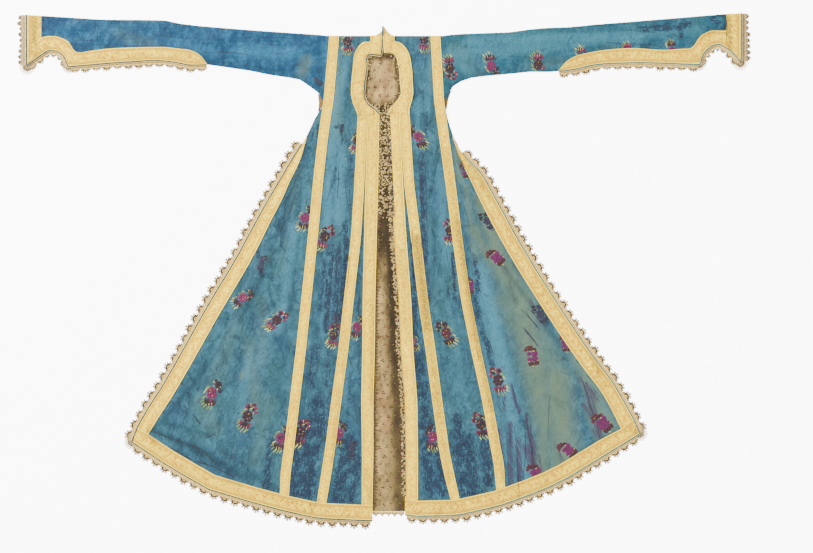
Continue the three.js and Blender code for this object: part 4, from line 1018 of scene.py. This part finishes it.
# Flower sprays along their own axis, buds up and leaves down, turned over by hand.
# A spray is a list of petals: across, along, half length, half width, turn, thread
def sprayOf(kind, hand, draw):
    petals = []
    bloom, other, bud = sprayThreads[kind]
    pale, leaf, base = ("ghost", "inkAndCreaseShade", "ghost") if kind == "ghost" else ("pale", "leaf", "inkAndCreaseShade")
    near = lambda v, spread: v + draw.uniform(-spread, spread)
    add = lambda x, y, *rest: petals.append((near(x, .8), near(y, .8), *rest))

    def blossom(x, y, wide, tall, count, thread, heart):
        petals.append((x, y, wide * .84, tall * .84, 0, base))
        for i in range(count):
            turn = i * 2 * math.pi / count + draw.uniform(-.15, .15)
            px, py = x + wide * .62 * math.cos(turn), y + tall * .62 * math.sin(turn)
            petals.append((px, py, wide * .38, tall * .3, turn, thread))
        petals.append((x, y, wide * .34, tall * .34, 0, thread))
        for i in range(count if wide > 9 else 2):
            turn = (i + .5) * 2 * math.pi / count
            px, py = x + wide * .42 * math.cos(turn), y + tall * .42 * math.sin(turn)
            add(px, py, wide * .1, wide * .07, turn, draw.choice([base, heart, bud]))
        petals.append((x, y, 1.5, 1.5, 0, heart))

    if kind == "faded":
        for x, y, long, wide, turn in ((0, 0, 14, 15, 0), (-9, 8, 8, 8, .8), (9, -8, 8, 8, .8),
                                       (9, 9, 7, 7, 0), (-9, -9, 8, 7, 0)):
            petals.append((x, y, long, wide, turn, bloom))
        for x, y, long in ((-6, 3, 5), (5, -4, 6), (2, 8, 4), (-3, -10, 4)):
            add(x, y, long, .8, draw.uniform(0, 3), base)
        for i in range(7):
            add(-13 + i * 4.2, -20, 7.5, 2.7, 1.57 - (i - 3) * .06, other if i % 2 else "maroon")
            add(-11 + i * 4.2, 19 + i * .8, 6, 2.7, 1.3, "maroon" if i % 3 else other)
        for x, y in ((14, 27), (8, 30), (0, 28), (18, 20)):
            add(x, y, 5, 4, .8, other)
        for x, y, turn in ((-14, -12, 0), (-6, 15, .2), (12, -13, 2.8), (10, 24, 1), (2, -28, .4)):
            add(x, y, 3.6, .9, turn, pale)
    else:
        for x, y, turn in ((-17, 3, 1.2), (-18, -14, .8), (-20, -23, .8), (-18, -31, .85),
                           (-12, -37, .9), (-4, -39, .95), (5, -38, 1.0)):
            add(x, y, near(7, 2), near(1.5, .3), near(turn, .15), draw.choice([leaf, leaf, pale]))
        if kind == "magenta":
            blossom(near(13, 1), near(23, 1), 11, 12, 6, other, pale)
            add(5, 35, 4.6, 4, .4, other)
            add(19, 9, 5, 6, .4, other)
        elif draw.random() < .5:
            blossom(near(-6, 2), near(23, 1), 9, 9.5, 6, other, bud)
            buds = ((10, 33, bud), (15, 25, other), (5, 30, bud), (16, 15, other), (9, 20, "inkAndCreaseShade"))
            for x, y, thread in buds:
                add(x, y, 5.4, 4.4, draw.uniform(0, 3), thread)
        else:
            blossom(near(16, 1), near(14, 1), 8, 10, 6, other, bud)
            buds = ((10, 32, bud), (3, 26, other), (-5, 22, "inkAndCreaseShade"), (13, 24, bud), (-11, 17, bloom))
            for x, y, thread in buds:
                add(x, y, 5.6, 4.6, draw.uniform(0, 3), thread)
        for x, y, long, turn in ((3, 21, 4.5, .5), (8, 27, 3, 1), (0, 30, 3.4, 1.9), (-8, 17, 4, .5),
                                 (19, 20, 3, 1), (12, 12, 3.4, 1.4)):
            add(x, y, long, 1, turn, draw.choice([pale, leaf]))
        petals.append((-1, -25, 15.5, 10, 0, base))
        for i in range(7):
            thread = (other, bud, other, bloom)[i % 4]
            add(-13.5 + i * 4.3, -25 + abs(i - 3) * .8, 9.5, 2.3, 1.57 + (3 - i) * .07, thread)
        for i in range(3):
            add(-9 + i * 7, -28, 6, .7, 1.57, pale)
        blossom(0, 0, 15, 18, 7, bloom, pale)
        add(-13, 13, 3.6, 3, .6, leaf)
        add(-13, 13, 1.5, 1.2, .6, "maroon")
    if hand < 0:
        petals = [(-x, y, long, wide, math.pi - turn, thread)
                  for x, y, long, wide, turn, thread in petals]
    return petals


# across and down on the marks' grid, turn in degrees, size, colour
flowers = [
    (347.5, 42, 10, .95, "maroon"), (424, 39.5, -5, .95, "maroon"), (450, 68.5, 185, 1.0, "maroon"),
    (491, 66, 185, 1.0, "magenta"), (538, 65, 180, 1.0, "maroon"), (582, 58, 185, .9, "maroon"),
    (628, 52.5, 185, .8, "maroon"), (672, 51, 185, .85, "magenta"), (318, 82, 60, .45, "ghost"),
    (357.5, 141, -6, .95, "maroon"), (305, 218, -10, 1.0, "magenta"), (325, 236.5, -18, 1.1, "maroon"),
    (342, 128, 0, .35, "ghost"), (262, 263, -15, .7, "ghost"), (243, 297.5, -42, .95, "magenta"),
    (277, 320, -44, 1.05, "maroon"), (357, 327, -8, .95, "magenta"), (334, 335, -5, 1.0, "maroon"),
    (336, 321, -10, .6, "ghost"), (212, 393, -10, 1.15, "magenta"), (248, 416, -16, 1.15, "maroon"),
    (281, 438, -8, 1.05, "magenta"), (301, 432, -12, 1.15, "maroon"), (339, 433, 0, 1.0, "magenta"),
    (353, 449, 0, .7, "ghost"), (418.5, 137, 18, 1.0, "magenta"), (449.5, 231, -5, 1.0, "maroon"),
    (466, 171, 10, .8, "faded"), (487, 221, 35, .85, "ghost"), (496.5, 257.5, 45, 1.0, "faded"),
    (469, 286, 5, .9, "faded"), (446, 333, 24, 1.1, "red"), (413, 341, 5, .8, "magenta"),
    (565.5, 344, 10, .85, "faded"), (540, 314, 30, .9, "ghost"), (532.5, 356.5, 9, 1.05, "faded"),
    (498, 380, 12, 1.15, "maroon"), (480.5, 424, 8, 1.1, "maroon"), (432.5, 437, -8, 1.05, "magenta"),
    (603, 423, 42, 1.15, "faded"), (568, 449.5, 52, 1.0, "faded"), (536.5, 474, 25, 1.1, "faded"),
]
threadOrder = ["maroon", "magenta", "red", "leaf", "pale", "ghost", "faded", "inkAndCreaseShade", "printRed"]


# Each petal is a low closed cushion that follows the cloth under it
def scatterSprays(name, sprays, heightAt, rise=0.32, downwards=False, corners=8):
    points, faces, kinds = [], [], []
    under, sign = 0.1, -1 if downwards else 1
    for x, y, turn, size, petals in sprays:
        ca, sa = math.cos(turn), math.sin(turn)
        for px, py, long, wide, bend, thread in petals:
            cx, cy = x + size * (px * ca - py * sa), y + size * (px * sa + py * ca)
            cb, sb = math.cos(bend + turn), math.sin(bend + turn)
            rim = []
            for i in range(corners):
                a = 2 * math.pi * i / corners
                ex, ey = long * size * math.cos(a), wide * size * math.sin(a)
                rim.append((cx + ex * cb - ey * sb, cy + ex * sb + ey * cb))
            levels = [heightAt(*p) for p in rim + [(cx, cy)]]
            top = rise * (0.45 if long > 9.6 else 1)
            if None in levels or max(levels) - min(levels) > 2.5:
                continue
            first, second = len(points), len(points) + corners
            points += [(a, b, h - sign * under) for (a, b), h in zip(rim, levels)]
            points += [(cx + (a - cx) * .86, cy + (b - cy) * .86, h + sign * top * .8)
                       for (a, b), h in zip(rim, levels)]
            points.append((cx, cy, levels[-1] + sign * top))
            pairs = [(i, (i + 1) % corners) for i in range(corners)]
            new = [[second + i, second + j, second + corners] for i, j in pairs]
            new += [[first + i, first + j, second + j, second + i] for i, j in pairs]
            new.append([first + i for i in range(corners)][::-1])
            faces += [f[::-1] for f in new] if downwards else new
            kinds += [threadOrder.index(thread)] * len(new)
    piece = makePiece(name, points, faces, [threads[t] for t in threadOrder])
    piece.data.polygons.foreach_set("material_index", kinds)
    return piece


draw = random.Random(21)
heightOfSilk = dropper(silkPieces.values())
sprays = {"left": [], "right": []}
for across, down, turn, size, kind in flowers:
    hand = 1 if across < grid["centre"] else -1
    spray = (*fromGrid(across, down), math.radians(turn), size, sprayOf(kind, hand, draw))
    sprays["left" if hand > 0 else "right"].append(spray)
flowerPieces = {name: scatterSprays(name + "Flowers", sprays[name], heightOfSilk) for name in sides}

# Sprays on the underside of the back, in staggered rows
backTop = dropper(backPieces.values())
heightOfBack = lambda x, y: None if backTop(x, y) is None else 0.3
backSprays = []
for row in range(9):
    for column in range(-5, 6):
        x = column * 150 + (75 if row % 2 else 0) + draw.uniform(-14, 14)
        y = 560 - row * 155 + draw.uniform(-14, 14)
        turn, size = math.radians(draw.uniform(-20, 20)), draw.uniform(.95, 1.1)
        petals = sprayOf(draw.choice(["maroon", "magenta"]), column % 2 * 2 - 1, draw)
        backSprays.append((x, y, turn, size, petals))
backFlowers = scatterSprays("backFlowers", backSprays, heightOfBack, 0.2, True, corners=5)

# Small printed sprigs on the lining
heightOfLining = dropper([backLining])
sprigs, gap = [], lining["sprig"]
for row in range(int(1420 / gap)):
    for column in range(-4, 5):
        x = column * gap + (gap / 2 if row % 2 else 0) + draw.uniform(-4, 4)
        y = robe["shoulderY"] - row * gap - 12 + draw.uniform(-4, 4)
        petals = []
        for turn in (0, 2.1, 4.2):
            if draw.random() < .85:
                long, thread = draw.uniform(2.2, 3.8), draw.choice(["maroon", "printRed", "printRed"])
                petals.append((3.4 * math.cos(turn), 3.0 * math.sin(turn), long, 1.9, turn, thread))
        petals.append((draw.uniform(4, 6), draw.uniform(-5, 5), 2.0, 1.1, 1, "leaf"))
        sprigs.append((x, y, draw.uniform(0, 6), draw.uniform(.8, 1.25), petals))
liningSprigs = scatterSprays("liningSprigs", sprigs, heightOfLining, 0.12, corners=6)
print("flowers laid")


# Adds some points and the faces on them to others
def join(points, faces, newPoints, newFaces):
    faces += [[len(points) + i for i in face] for face in newFaces]
    points += newPoints


# A closed flat strip along points of a plane: returns its points and faces
def strip(line, width, low, high, closed=False):
    line = np.asarray(line, float)
    after = np.roll(line, -1, axis=0) if closed else np.vstack([line[1:], 2 * line[-1] - line[-2]])
    before = np.roll(line, 1, axis=0) if closed else np.vstack([2 * line[0] - line[1], line[:-1]])
    way = after - before
    way /= np.maximum(np.linalg.norm(way, axis=1, keepdims=True), 1e-9)
    side = np.stack([-way[:, 1], way[:, 0]], axis=1) * width / 2
    n = len(line)
    points = [(*(p + s), h) for p, s in zip(line, side) for h in (low, high)]
    points += [(*(p - s), h) for p, s in zip(line, side) for h in (low, high)]
    faces = []
    for i in range(n if closed else n - 1):
        j = (i + 1) % n
        a, b, c, d = 2 * i, 2 * j, 2 * n + 2 * i, 2 * n + 2 * j
        faces += [[a + 1, c + 1, d + 1, b + 1], [a, b, d, c], [a, a + 1, b + 1, b], [c, d, d + 1, c + 1]]
    if not closed:
        e = 2 * (n - 1)
        faces += [[0, 2 * n, 2 * n + 1, 1], [e, e + 1, 2 * n + e + 1, 2 * n + e]]
    return points, faces


def ring(x, y, across, along, width, count, low, high):
    turns = [2 * math.pi * i / count for i in range(count)]
    return strip([(x + across * math.cos(a), y + along * math.sin(a)) for a in turns], width, low, high, True)


def arc(x, y, across, along, first, last, count, width, low, high):
    turns = [math.radians(first + (last - first) * i / count) for i in range(count + 1)]
    return strip([(x + across * math.cos(a), y + along * math.sin(a)) for a in turns], width, low, high)


# A closed flat plate of an anticlockwise outline
def plate(outline, low, high):
    n = len(outline)
    points = [(x, y, high) for x, y in outline] + [(x, y, low) for x, y in outline]
    rim = [[i, i + n, (i + 1) % n + n, (i + 1) % n] for i in range(n)]
    return points, [list(range(n)), list(range(n, 2 * n))[::-1]] + rim


# Laces: pitch of a repeat, width, heading, loops, gap from the edge, thread, unevenness of the
# loops, and the threads of the loops, the heading and the net
laces = {
    "Side": (33, 29, 9, 5, 3.4, 2.6, .05, ("lace", "laceHeader", "laceGround")),
    "Hem": (33, 28, 8, 5, 3.4, 2.6, .05, ("lace", "laceHeader", "laceGround")),
    "Front": (10, 12, 2, 3, 0.4, 1.2, .25, ("frontLace", "frontNet", "frontNet")),
    "Slit": (32, 24, 9, 5, 3.2, 2.3, .1, ("lace", "laceHeader", "laceGround")),
    "Notch": (26, 24, 9, 5, 3.2, 2.2, .1, ("lace", "laceHeader", "laceGround")),
    "Cuff": (17, 29, 15, 5, 3.2, 2.0, .1, ("lace", "lace", "laceGround")),
    "backHem": (19, 15, 5, 3, 0.4, 2.6, .05, ("lace", "laceHeader", "laceGround")),
}


# One repeat of a lace: a woven heading and a netted fan with long loops over it.
# Returns the points, the faces and which thread each face has
def laceRepeat(pitch, width, header, loops, thread):
    middle, reach = pitch / 2, width - header
    base, spread = header + 0.2, pitch * 0.48
    parts = [(strip([(pitch * i / 3, header / 2) for i in range(4)], header, 0, 0.6), 1)]
    spots = max(2, round(pitch / 5))
    for i in range(spots):
        x = (i + .5) * pitch / spots
        diamond = [(x - 1, header * .5), (x, header * .3), (x + 1, header * .5), (x, header * .72)]
        parts.append((plate(diamond, .1, 0.75), 2))
    fan = [(middle - spread, base - .6), (middle + spread, base - .6)]
    for k in range(9):
        a = math.pi * k / 8
        tooth = .06 + (0.62 if k % 2 else 0.5) * math.sin(a)
        fan.append((middle + spread * (1 - .25 * math.sin(a)) * math.cos(a), base + reach * tooth))
    parts.append((plate(fan, 0, 0.4), 2))
    parts.append((arc(middle, base, spread * 0.26, reach * 0.26, 0, 180, 4, thread, 0.1, 0.9), 1))
    for i in range(loops):
        a = math.pi * (0.04 + 0.92 * i / (loops - 1))
        ca, sa = math.cos(a), math.sin(a)
        # each loop reaches from a half to the whole of the fan
        cx, cy = middle + spread * 0.75 * ca, base + reach * (0.75 * sa + .06)
        long = 0.25 * math.hypot(spread * ca, reach * sa)
        wide = min(long * 0.75, spread * 0.25)
        turn = math.atan2(reach * sa, spread * ca)
        ct, st = math.cos(turn), math.sin(turn)
        loop = [(cx + long * math.cos(t) * ct - wide * math.sin(t) * st,
                 cy + long * math.cos(t) * st + wide * math.sin(t) * ct)
                for t in (2 * math.pi * k / 6 for k in range(6))]
        heart = [(cx + (x - cx) * .72, cy + (y - cy) * .72) for x, y in loop]
        parts.append((strip(loop, thread * .6, 0.1, 0.9, True), 2))
        parts.append((plate(heart, 0.1, 0.7), i % 2))
    points, faces, kinds = [], [], []
    for (p, f), kind in parts:
        join(points, faces, p, f)
        kinds += [kind] * len(f)
    return np.array(points), faces, kinds


# Repeats of a lace bent along a path, on its left (turn 1) or right (turn -1), and a rosette
# of loops round a corner
def layLace(name, part, path, turn, draw, low=0.1, cornerAt=None):
    pitch, width, header, loops, away, thread, rough, looks = laces[part]
    path = np.asarray(path, float)[:, :2]
    lengths = np.concatenate([[0], np.cumsum(np.linalg.norm(np.diff(path, axis=0), axis=1))])
    total = lengths[-1]
    count = max(1, round(total / pitch))
    points, faces, repeatKinds = laceRepeat(total / count, width - away, header, loops, thread)
    if turn < 0:
        faces = [f[::-1] for f in faces]
    at = lambda v: np.stack([np.interp(v, lengths, path[:, i]) for i in (0, 1)], axis=-1)
    allPoints, allFaces, kinds = [], [], []
    for i in range(count):
        p = points.copy()
        loose = p[:, 1] > header + 1
        skew = draw.uniform(-rough, rough) * pitch * (p[:, 1] - header) / (width - header)
        p[:, 0] += np.where(loose, skew, 0)
        p[:, 1] *= np.where(loose, draw.uniform(1 - rough * 2, 1 + rough), 1)
        s = p[:, 0] + i * total / count
        spot, way = at(np.clip(s, 0, total)), at(np.clip(s + 8, 0, total)) - at(np.clip(s - 8, 0, total))
        way /= np.linalg.norm(way, axis=1, keepdims=True)
        spot = spot + way * (s - np.clip(s, 0, total))[:, None]
        normal = np.stack([-way[:, 1], way[:, 0]], axis=-1) * turn
        bent = spot + normal * (p[:, 1:2] + away)
        join(allPoints, allFaces, np.column_stack([bent, low + p[:, 2]]).tolist(), faces)
        kinds += repeatKinds
    if cornerAt is not None:
        cx, cy = cornerAt[:2]
        around = [(math.cos(a), math.sin(a)) for a in (2 * math.pi * k / 12 for k in range(12))]
        disc = [(cx + width * .5 * ca, cy + width * .5 * sa) for ca, sa in around]
        extra = [(plate(disc, low, low + .4), 2)]
        for ca, sa in around:
            x, y = cx + width * .66 * ca, cy + width * .66 * sa
            extra.append((ring(x, y, width * .15, width * .15, thread, 6, low + .1, low + .9), 0))
            extra.append((strip([(cx, cy), (x, y)], thread * .7, low + .15, low + .8), 0))
        for (p, f), kind in extra:
            join(allPoints, allFaces, p, f)
            kinds += [kind] * len(f)
    looks = [threads[t] for t in looks]
    piece = makePiece(name + part + "Lace", allPoints, allFaces, looks, sharp=60)
    piece.data.polygons.foreach_set("material_index", kinds)
    return piece


def shifted(path, distance):
    path = np.asarray(path, float)
    way = np.gradient(path[:, :2], axis=0)
    way /= np.maximum(np.linalg.norm(way, axis=1, keepdims=True), 1e-9)
    moved = path.copy()
    moved[:, :2] += np.stack([-way[:, 1], way[:, 0]], axis=-1) * distance
    return moved


# A sewn-down cord along a path in millimetres
def layCord(name, path, away, radius, material):
    corners, path = 6, shifted(path, away)
    keep = [0] + [i for i in range(1, len(path)) if np.linalg.norm(path[i] - path[i - 1]) > 0.2]
    path = path[keep]
    way = np.gradient(path, axis=0)
    way /= np.maximum(np.linalg.norm(way, axis=1, keepdims=True), 1e-9)
    flat = np.stack([-way[:, 1], way[:, 0], np.zeros(len(way))], axis=-1)
    flat /= np.maximum(np.linalg.norm(flat, axis=1, keepdims=True), 1e-9)
    up = np.cross(way, flat)
    points = []
    for p, f, u in zip(path, flat, up):
        turns = (2 * math.pi * k / corners for k in range(corners))
        points += [tuple(p + radius * (math.cos(a) * f + math.sin(a) * u)) for a in turns]
    faces = []
    for i in range(len(path) - 1):
        for k in range(corners):
            a, b = i * corners + k, i * corners + (k + 1) % corners
            faces.append([a, a + corners, b + corners, b][::-1])
    faces.append(list(range(corners))[::-1])
    faces.append([len(points) - corners + k for k in range(corners)])
    return makePiece(name, points, faces, material, sharp=80)


# The dark lines of painted crease shade and the pulled threads lie on whatever is uppermost there
heightOfTop = dropper([*silkPieces.values(), *braidPieces.values()])
creasePieces = {}
draw = random.Random(13)
for name, lines in creases.items():
    points, faces = [], []
    for ax, ay, bx, by, width in lines:
        count = max(3, round(math.hypot(bx - ax, by - ay) * grid["square"] / 7))
        bend = draw.uniform(-.04, .04)
        line, widths = [], []
        for i in range(count + 1):
            t = i / count
            off = bend * math.sin(math.pi * t) + draw.uniform(-.006, .006)
            line.append(fromGrid(ax + (bx - ax) * t - (by - ay) * off, ay + (by - ay) * t + (bx - ax) * off))
            taper = .25 + .75 * math.sin(math.pi * t) ** .5 if 0 < i < count else .25
            widths.append(width * taper * draw.uniform(.6, 1))
        heights = [heightOfTop(*p) for p in line]
        if None in heights:
            continue
        p, f = strip(line, np.array(widths)[:, None], 0, 0.22)
        lift = np.tile(np.repeat(heights, 2), 2)
        join(points, faces, [(x, y, z + h - 0.08) for (x, y, z), h in zip(p, lift)], f)
    creasePieces[name] = makePiece(name + "Creases", points, faces, threads["inkAndCreaseShade"])


# Spots and rows of a fine grid, and its points in the frame, for the paths that run along it
def placed(gridOf, name, rows, columns, step=pathStep):
    spots, rowAt, colAt, height = gridOf(name, rows, columns, step)
    return spots, rowAt, inPlace(sides[name], spots, height)


lacePieces = {}
cords = {"lift": 1.1, "piping": 1.9, "pipingAway": 1.3, "pale": 0.9, "paleAway": 3.9, "paleDown": 0.6}
# cords round the neck: lift, distance from the edge, radius and thread
neckCords = {
    "left": [("neckPiping", 1.7, -0.6, 2.2, "piping"), ("neckPaleCord", 1.3, 2.6, 1.0, "paleCord")],
    "right": [("neckThread", 1.3, 0.3, 0.9, "tealPiping")],
}
draw = random.Random(5)
for name, side in sides.items():
    turn = side["sign"]
    spots, rowAt, laid = placed(frontGrid, name, (neckRows, lastRow), (sideBraid, sideLine), 6.0)
    sidePath = laid[:, -1][spots[:, -1, 1] > side["slitDown"]]
    hemPath = placed(frontGrid, name, (hemRow, lastRow), (edge, sideLine), 6.0)[2][-1]
    edgePath = placed(frontGrid, name, (2, lastRow), (edge, centreBraid))[2][:, 0]
    lacePieces[f"{name}_side_lace"] = layLace(name, "Side", sidePath, turn, draw, cornerAt=hemPath[-1])
    lacePieces[f"{name}_hem_lace"] = layLace(name, "Hem", hemPath[1:-2], -turn, draw)
    low = robe["liningTop"] + 0.3
    lacePieces[f"{name}_front_lace"] = layLace(name, "Front", edgePath[:-8], -turn, draw, low)
    stations = sleeves[name][1]
    slit, notch = stations.index(side["slitOut"]), stations.index(side["notchOut"])
    spots, rowAt, laid = placed(sleeveGrid, name, (slit, len(stations) - 1), (0, 7))
    lower, cuffPath, atNotch = laid[:, -1], laid[-1, ::-1], np.searchsorted(rowAt, notch)
    lacePieces[f"{name}_cuff_lace"] = [
        layLace(name, "Slit", lower[:atNotch], -turn, draw),
        layLace(name, "Notch", lower[atNotch:], -turn, draw, cornerAt=lower[atNotch]),
        layLace(name, "Cuff", cuffPath, -turn, draw, cornerAt=cuffPath[0] + [0, -4, 0])]
    dark, pale = threads["piping" if name == "left" else "tealPiping"], threads["paleCord"]
    for part, path, away in (("Side", sidePath, turn), ("Hem", hemPath, -turn), ("Slit", lower, -turn),
                             ("Cuff", cuffPath, -turn)):
        path = path + [0, 0, cords["lift"]]
        layCord(name + part + "Piping", path, away * cords["pipingAway"], cords["piping"], dark)
        path = path - [0, 0, cords["paleDown"]]
        layCord(name + part + "PaleCord", path, away * cords["paleAway"], cords["pale"], pale)
    path = placed(frontGrid, name, (0, neckRows), (edge, centreBraid))[2][:, 0]
    if name == "left":
        path = np.vstack([[(path[0][0], path[0][1] + 27, path[0][2])], path])
    for part, lift, away, radius, thread in neckCords[name]:
        layCord(part, path + [0, 0, lift], away, radius, threads[thread])

# Crumpled narrow lace over the closing, from the neck to the hips, and along the right edge below it
draw = random.Random(9)
# downs of the neck, the top of the dark strip of painted shadow, the hips and the hem; overlap onto the right
# edge; rings of lace
closing = {"top": 60, "shadowStripTop": 238, "bottom": 545, "end": 1380, "overlap": 9.0, "rings": 1150, "upper": 680}


def closingEdge(name, down):
    skirt = sides[name]["skirt"]
    return read(skirt, down, 1) if down > skirt[0][0] else read(neckRowsOf[name], down)


# a dark strip of painted shadow along the right front's edge, under the rings of lace
points, faces = [], []
# faces of a box on four lower and four upper corners
box = [[3, 2, 1, 0], [7, 6, 5, 4], [0, 1, 5, 4], [1, 2, 6, 5], [2, 3, 7, 6], [3, 0, 4, 7]]
rows = np.linspace(closing["shadowStripTop"], closing["end"], 190)
for d, e in zip(rows[:-1], rows[1:]):
    over = closing["overlap"] if e < closing["bottom"] else 3.0
    corners = ((d, -1.5), (d, over), (e, over), (e, -1.5))
    at = [inFrame(closingEdge("right", v) + w, v) for v, w in corners]
    levels = [heightOfTop(x + 1.7, y) or 5.4 for x, y in at]
    new = [(x, y, h + lift) for lift in (0.02, 0.3) for (x, y), h in zip(at, levels)]
    join(points, faces, new, box)
shadowStripEdge = makePiece("closingNet", points, faces, threads["shadeNet"])

points, faces = [], []
for n in range(closing["rings"]):
    upper = n < closing["upper"]
    first, last = ("top", "bottom") if upper else ("bottom", "end")
    d = draw.uniform(closing[first], closing[last])
    edgeOut = closingEdge("right", d)
    low, high = edgeOut - 9, edgeOut + 3
    if upper:
        low, high = -closingEdge("left", d), edgeOut + closing["overlap"]
    x, y = inFrame(draw.uniform(low, high), d)
    across = x - robe["shift"][0]
    out = across > edgeOut - 2.5
    if out:
        base = (heightOfTop(x, y) or 5.2) + 0.32
    else:
        base = robe["liningTop"] + draw.uniform(0.9, 2.2)
    # the neck stays open but for its rim
    if d < 231 and not out:
        gap = min(across - low, high - closing["overlap"] - across)
        if gap > draw.uniform(4, 16) + 40 * (d > 200):
            continue
    size = draw.uniform(1.1, 1.9)
    tall, thread = size * draw.uniform(.6, 1), draw.uniform(1.1, 1.6)
    join(points, faces, *ring(x, y, size, tall, thread, 6, base, base + 0.6))
closingLace = makePiece("closingLace", points, faces, threads["frontLace"], sharp=60)

backHem = [inFrame(x, 1426) for x in range(-50, 65, 6)]
lacePieces["back_hem_lace"] = layLace("", "backHem", backHem, -1, draw)
print("lace and cords laid")

everything = {**silkPieces, **braidPieces, **lacePieces, **backPieces, "back_lining": backLining}
for node, pieces in everything.items():
    for piece in pieces if isinstance(pieces, list) else [pieces]:
        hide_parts(node.replace("front_yoke", "front_panel"))
for name in sides:
    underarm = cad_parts[f"{name}_underarm"].data.materials
    underarm.clear()
    underarm.append(threads["cotton"])


def declare(piece, restsOn, *riders):
    corners = np.array([v.co[:2] for v in piece.data.vertices])
    width, length = corners.max(0) - corners.min(0)
    area = sum(f.area for f in piece.data.polygons) / 2
    if area > width * length:
        width, length = width * 1.02, length * 1.02
    flat = (round(float(width), 3), round(float(length), 3))


for name in sides:
    named = lambda *parts: [everything[f"{name}_{part}"] for part in parts]
    yoke, panel, centre, skirt, sleeve, sleeveBack = named(
        "front_yoke", "front_panel", "centre_gore", "side_gore", "sleeve_front", "sleeve_back")
    declare(yoke, "backLining", *named("neck_braid", "collar"), creasePieces[name])
    declare(panel, "backLining", *named("inner_braid"), flowerPieces[name])
    declare(centre, "backLining", *named("centre_braid", "front_lace"))
    declare(skirt, "backPanel", *named("outer_braid", "side_braid", "hem_braid", "side_lace", "hem_lace"))
    declare(sleeve, f"{name}SleeveBack", *named("cuff_braid", "slit_braid"))
    declare(sleeveBack, "floor", *lacePieces[f"{name}_cuff_lace"])
declare(backPieces["back_panel"], "floor", backFlowers, lacePieces["back_hem_lace"])
declare(backLining, "backPanel", liningSprigs, shadowStripEdge, closingLace)

# Pale floor, soft light from above and a camera straight over the robe
studio = {
    "floor": "#ffffff", "glow": 6.5, "world": 0.98, "key": 3570.0, "fill": 448.0,
    "lens": 85.0, "height": 5.759, "centre": (0.068, -0.0177),
}
bpy.ops.mesh.primitive_plane_add(size=12, location=(0, 0, -0.0004))
floor = bpy.context.object
floor.name = "floor"
white = toLinear(studio["floor"])
floor.data.materials.append(Look("matt white floor", {
    "Roughness": 0.9, "Specular IOR Level": 0.1, "Base Color": white, "Emission Color": white,
    "Emission Strength": studio["glow"]}).material)

world = bpy.data.worlds.new("studio")
world.use_nodes = True
background = world.node_tree.nodes["Background"].inputs
background[0].default_value, background[1].default_value = (1, 1, 1, 1), studio["world"]
bpy.context.scene.world = world


def addLight(name, place, size, power):
    light = bpy.data.lights.new(name, "AREA")
    light.energy, light.size = power, size
    lamp = bpy.data.objects.new(name, light)
    lamp.location = place
    lamp.rotation_euler = (-Vector(place)).to_track_quat("-Z", "Y").to_euler()
    bpy.context.collection.objects.link(lamp)


addLight("key", (-6.5, 5.0, 4.8), 2.6, studio["key"])
addLight("fill", (4.0, -2.5, 4.5), 3.5, studio["fill"])

camera = bpy.data.cameras.new("camera")
camera.lens, camera.sensor_width, camera.clip_end = studio["lens"], 36.0, 50.0
cameraObject = bpy.data.objects.new("camera", camera)
cameraObject.location = (*studio["centre"], studio["height"])
bpy.context.collection.objects.link(cameraObject)
bpy.context.scene.camera = cameraObject

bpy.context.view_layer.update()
shown = [o for o in bpy.data.objects if o.type == "MESH" and not o.hide_render]
print("scene ready, triangles", sum(len(f.vertices) - 2 for o in shown for f in o.data.polygons))
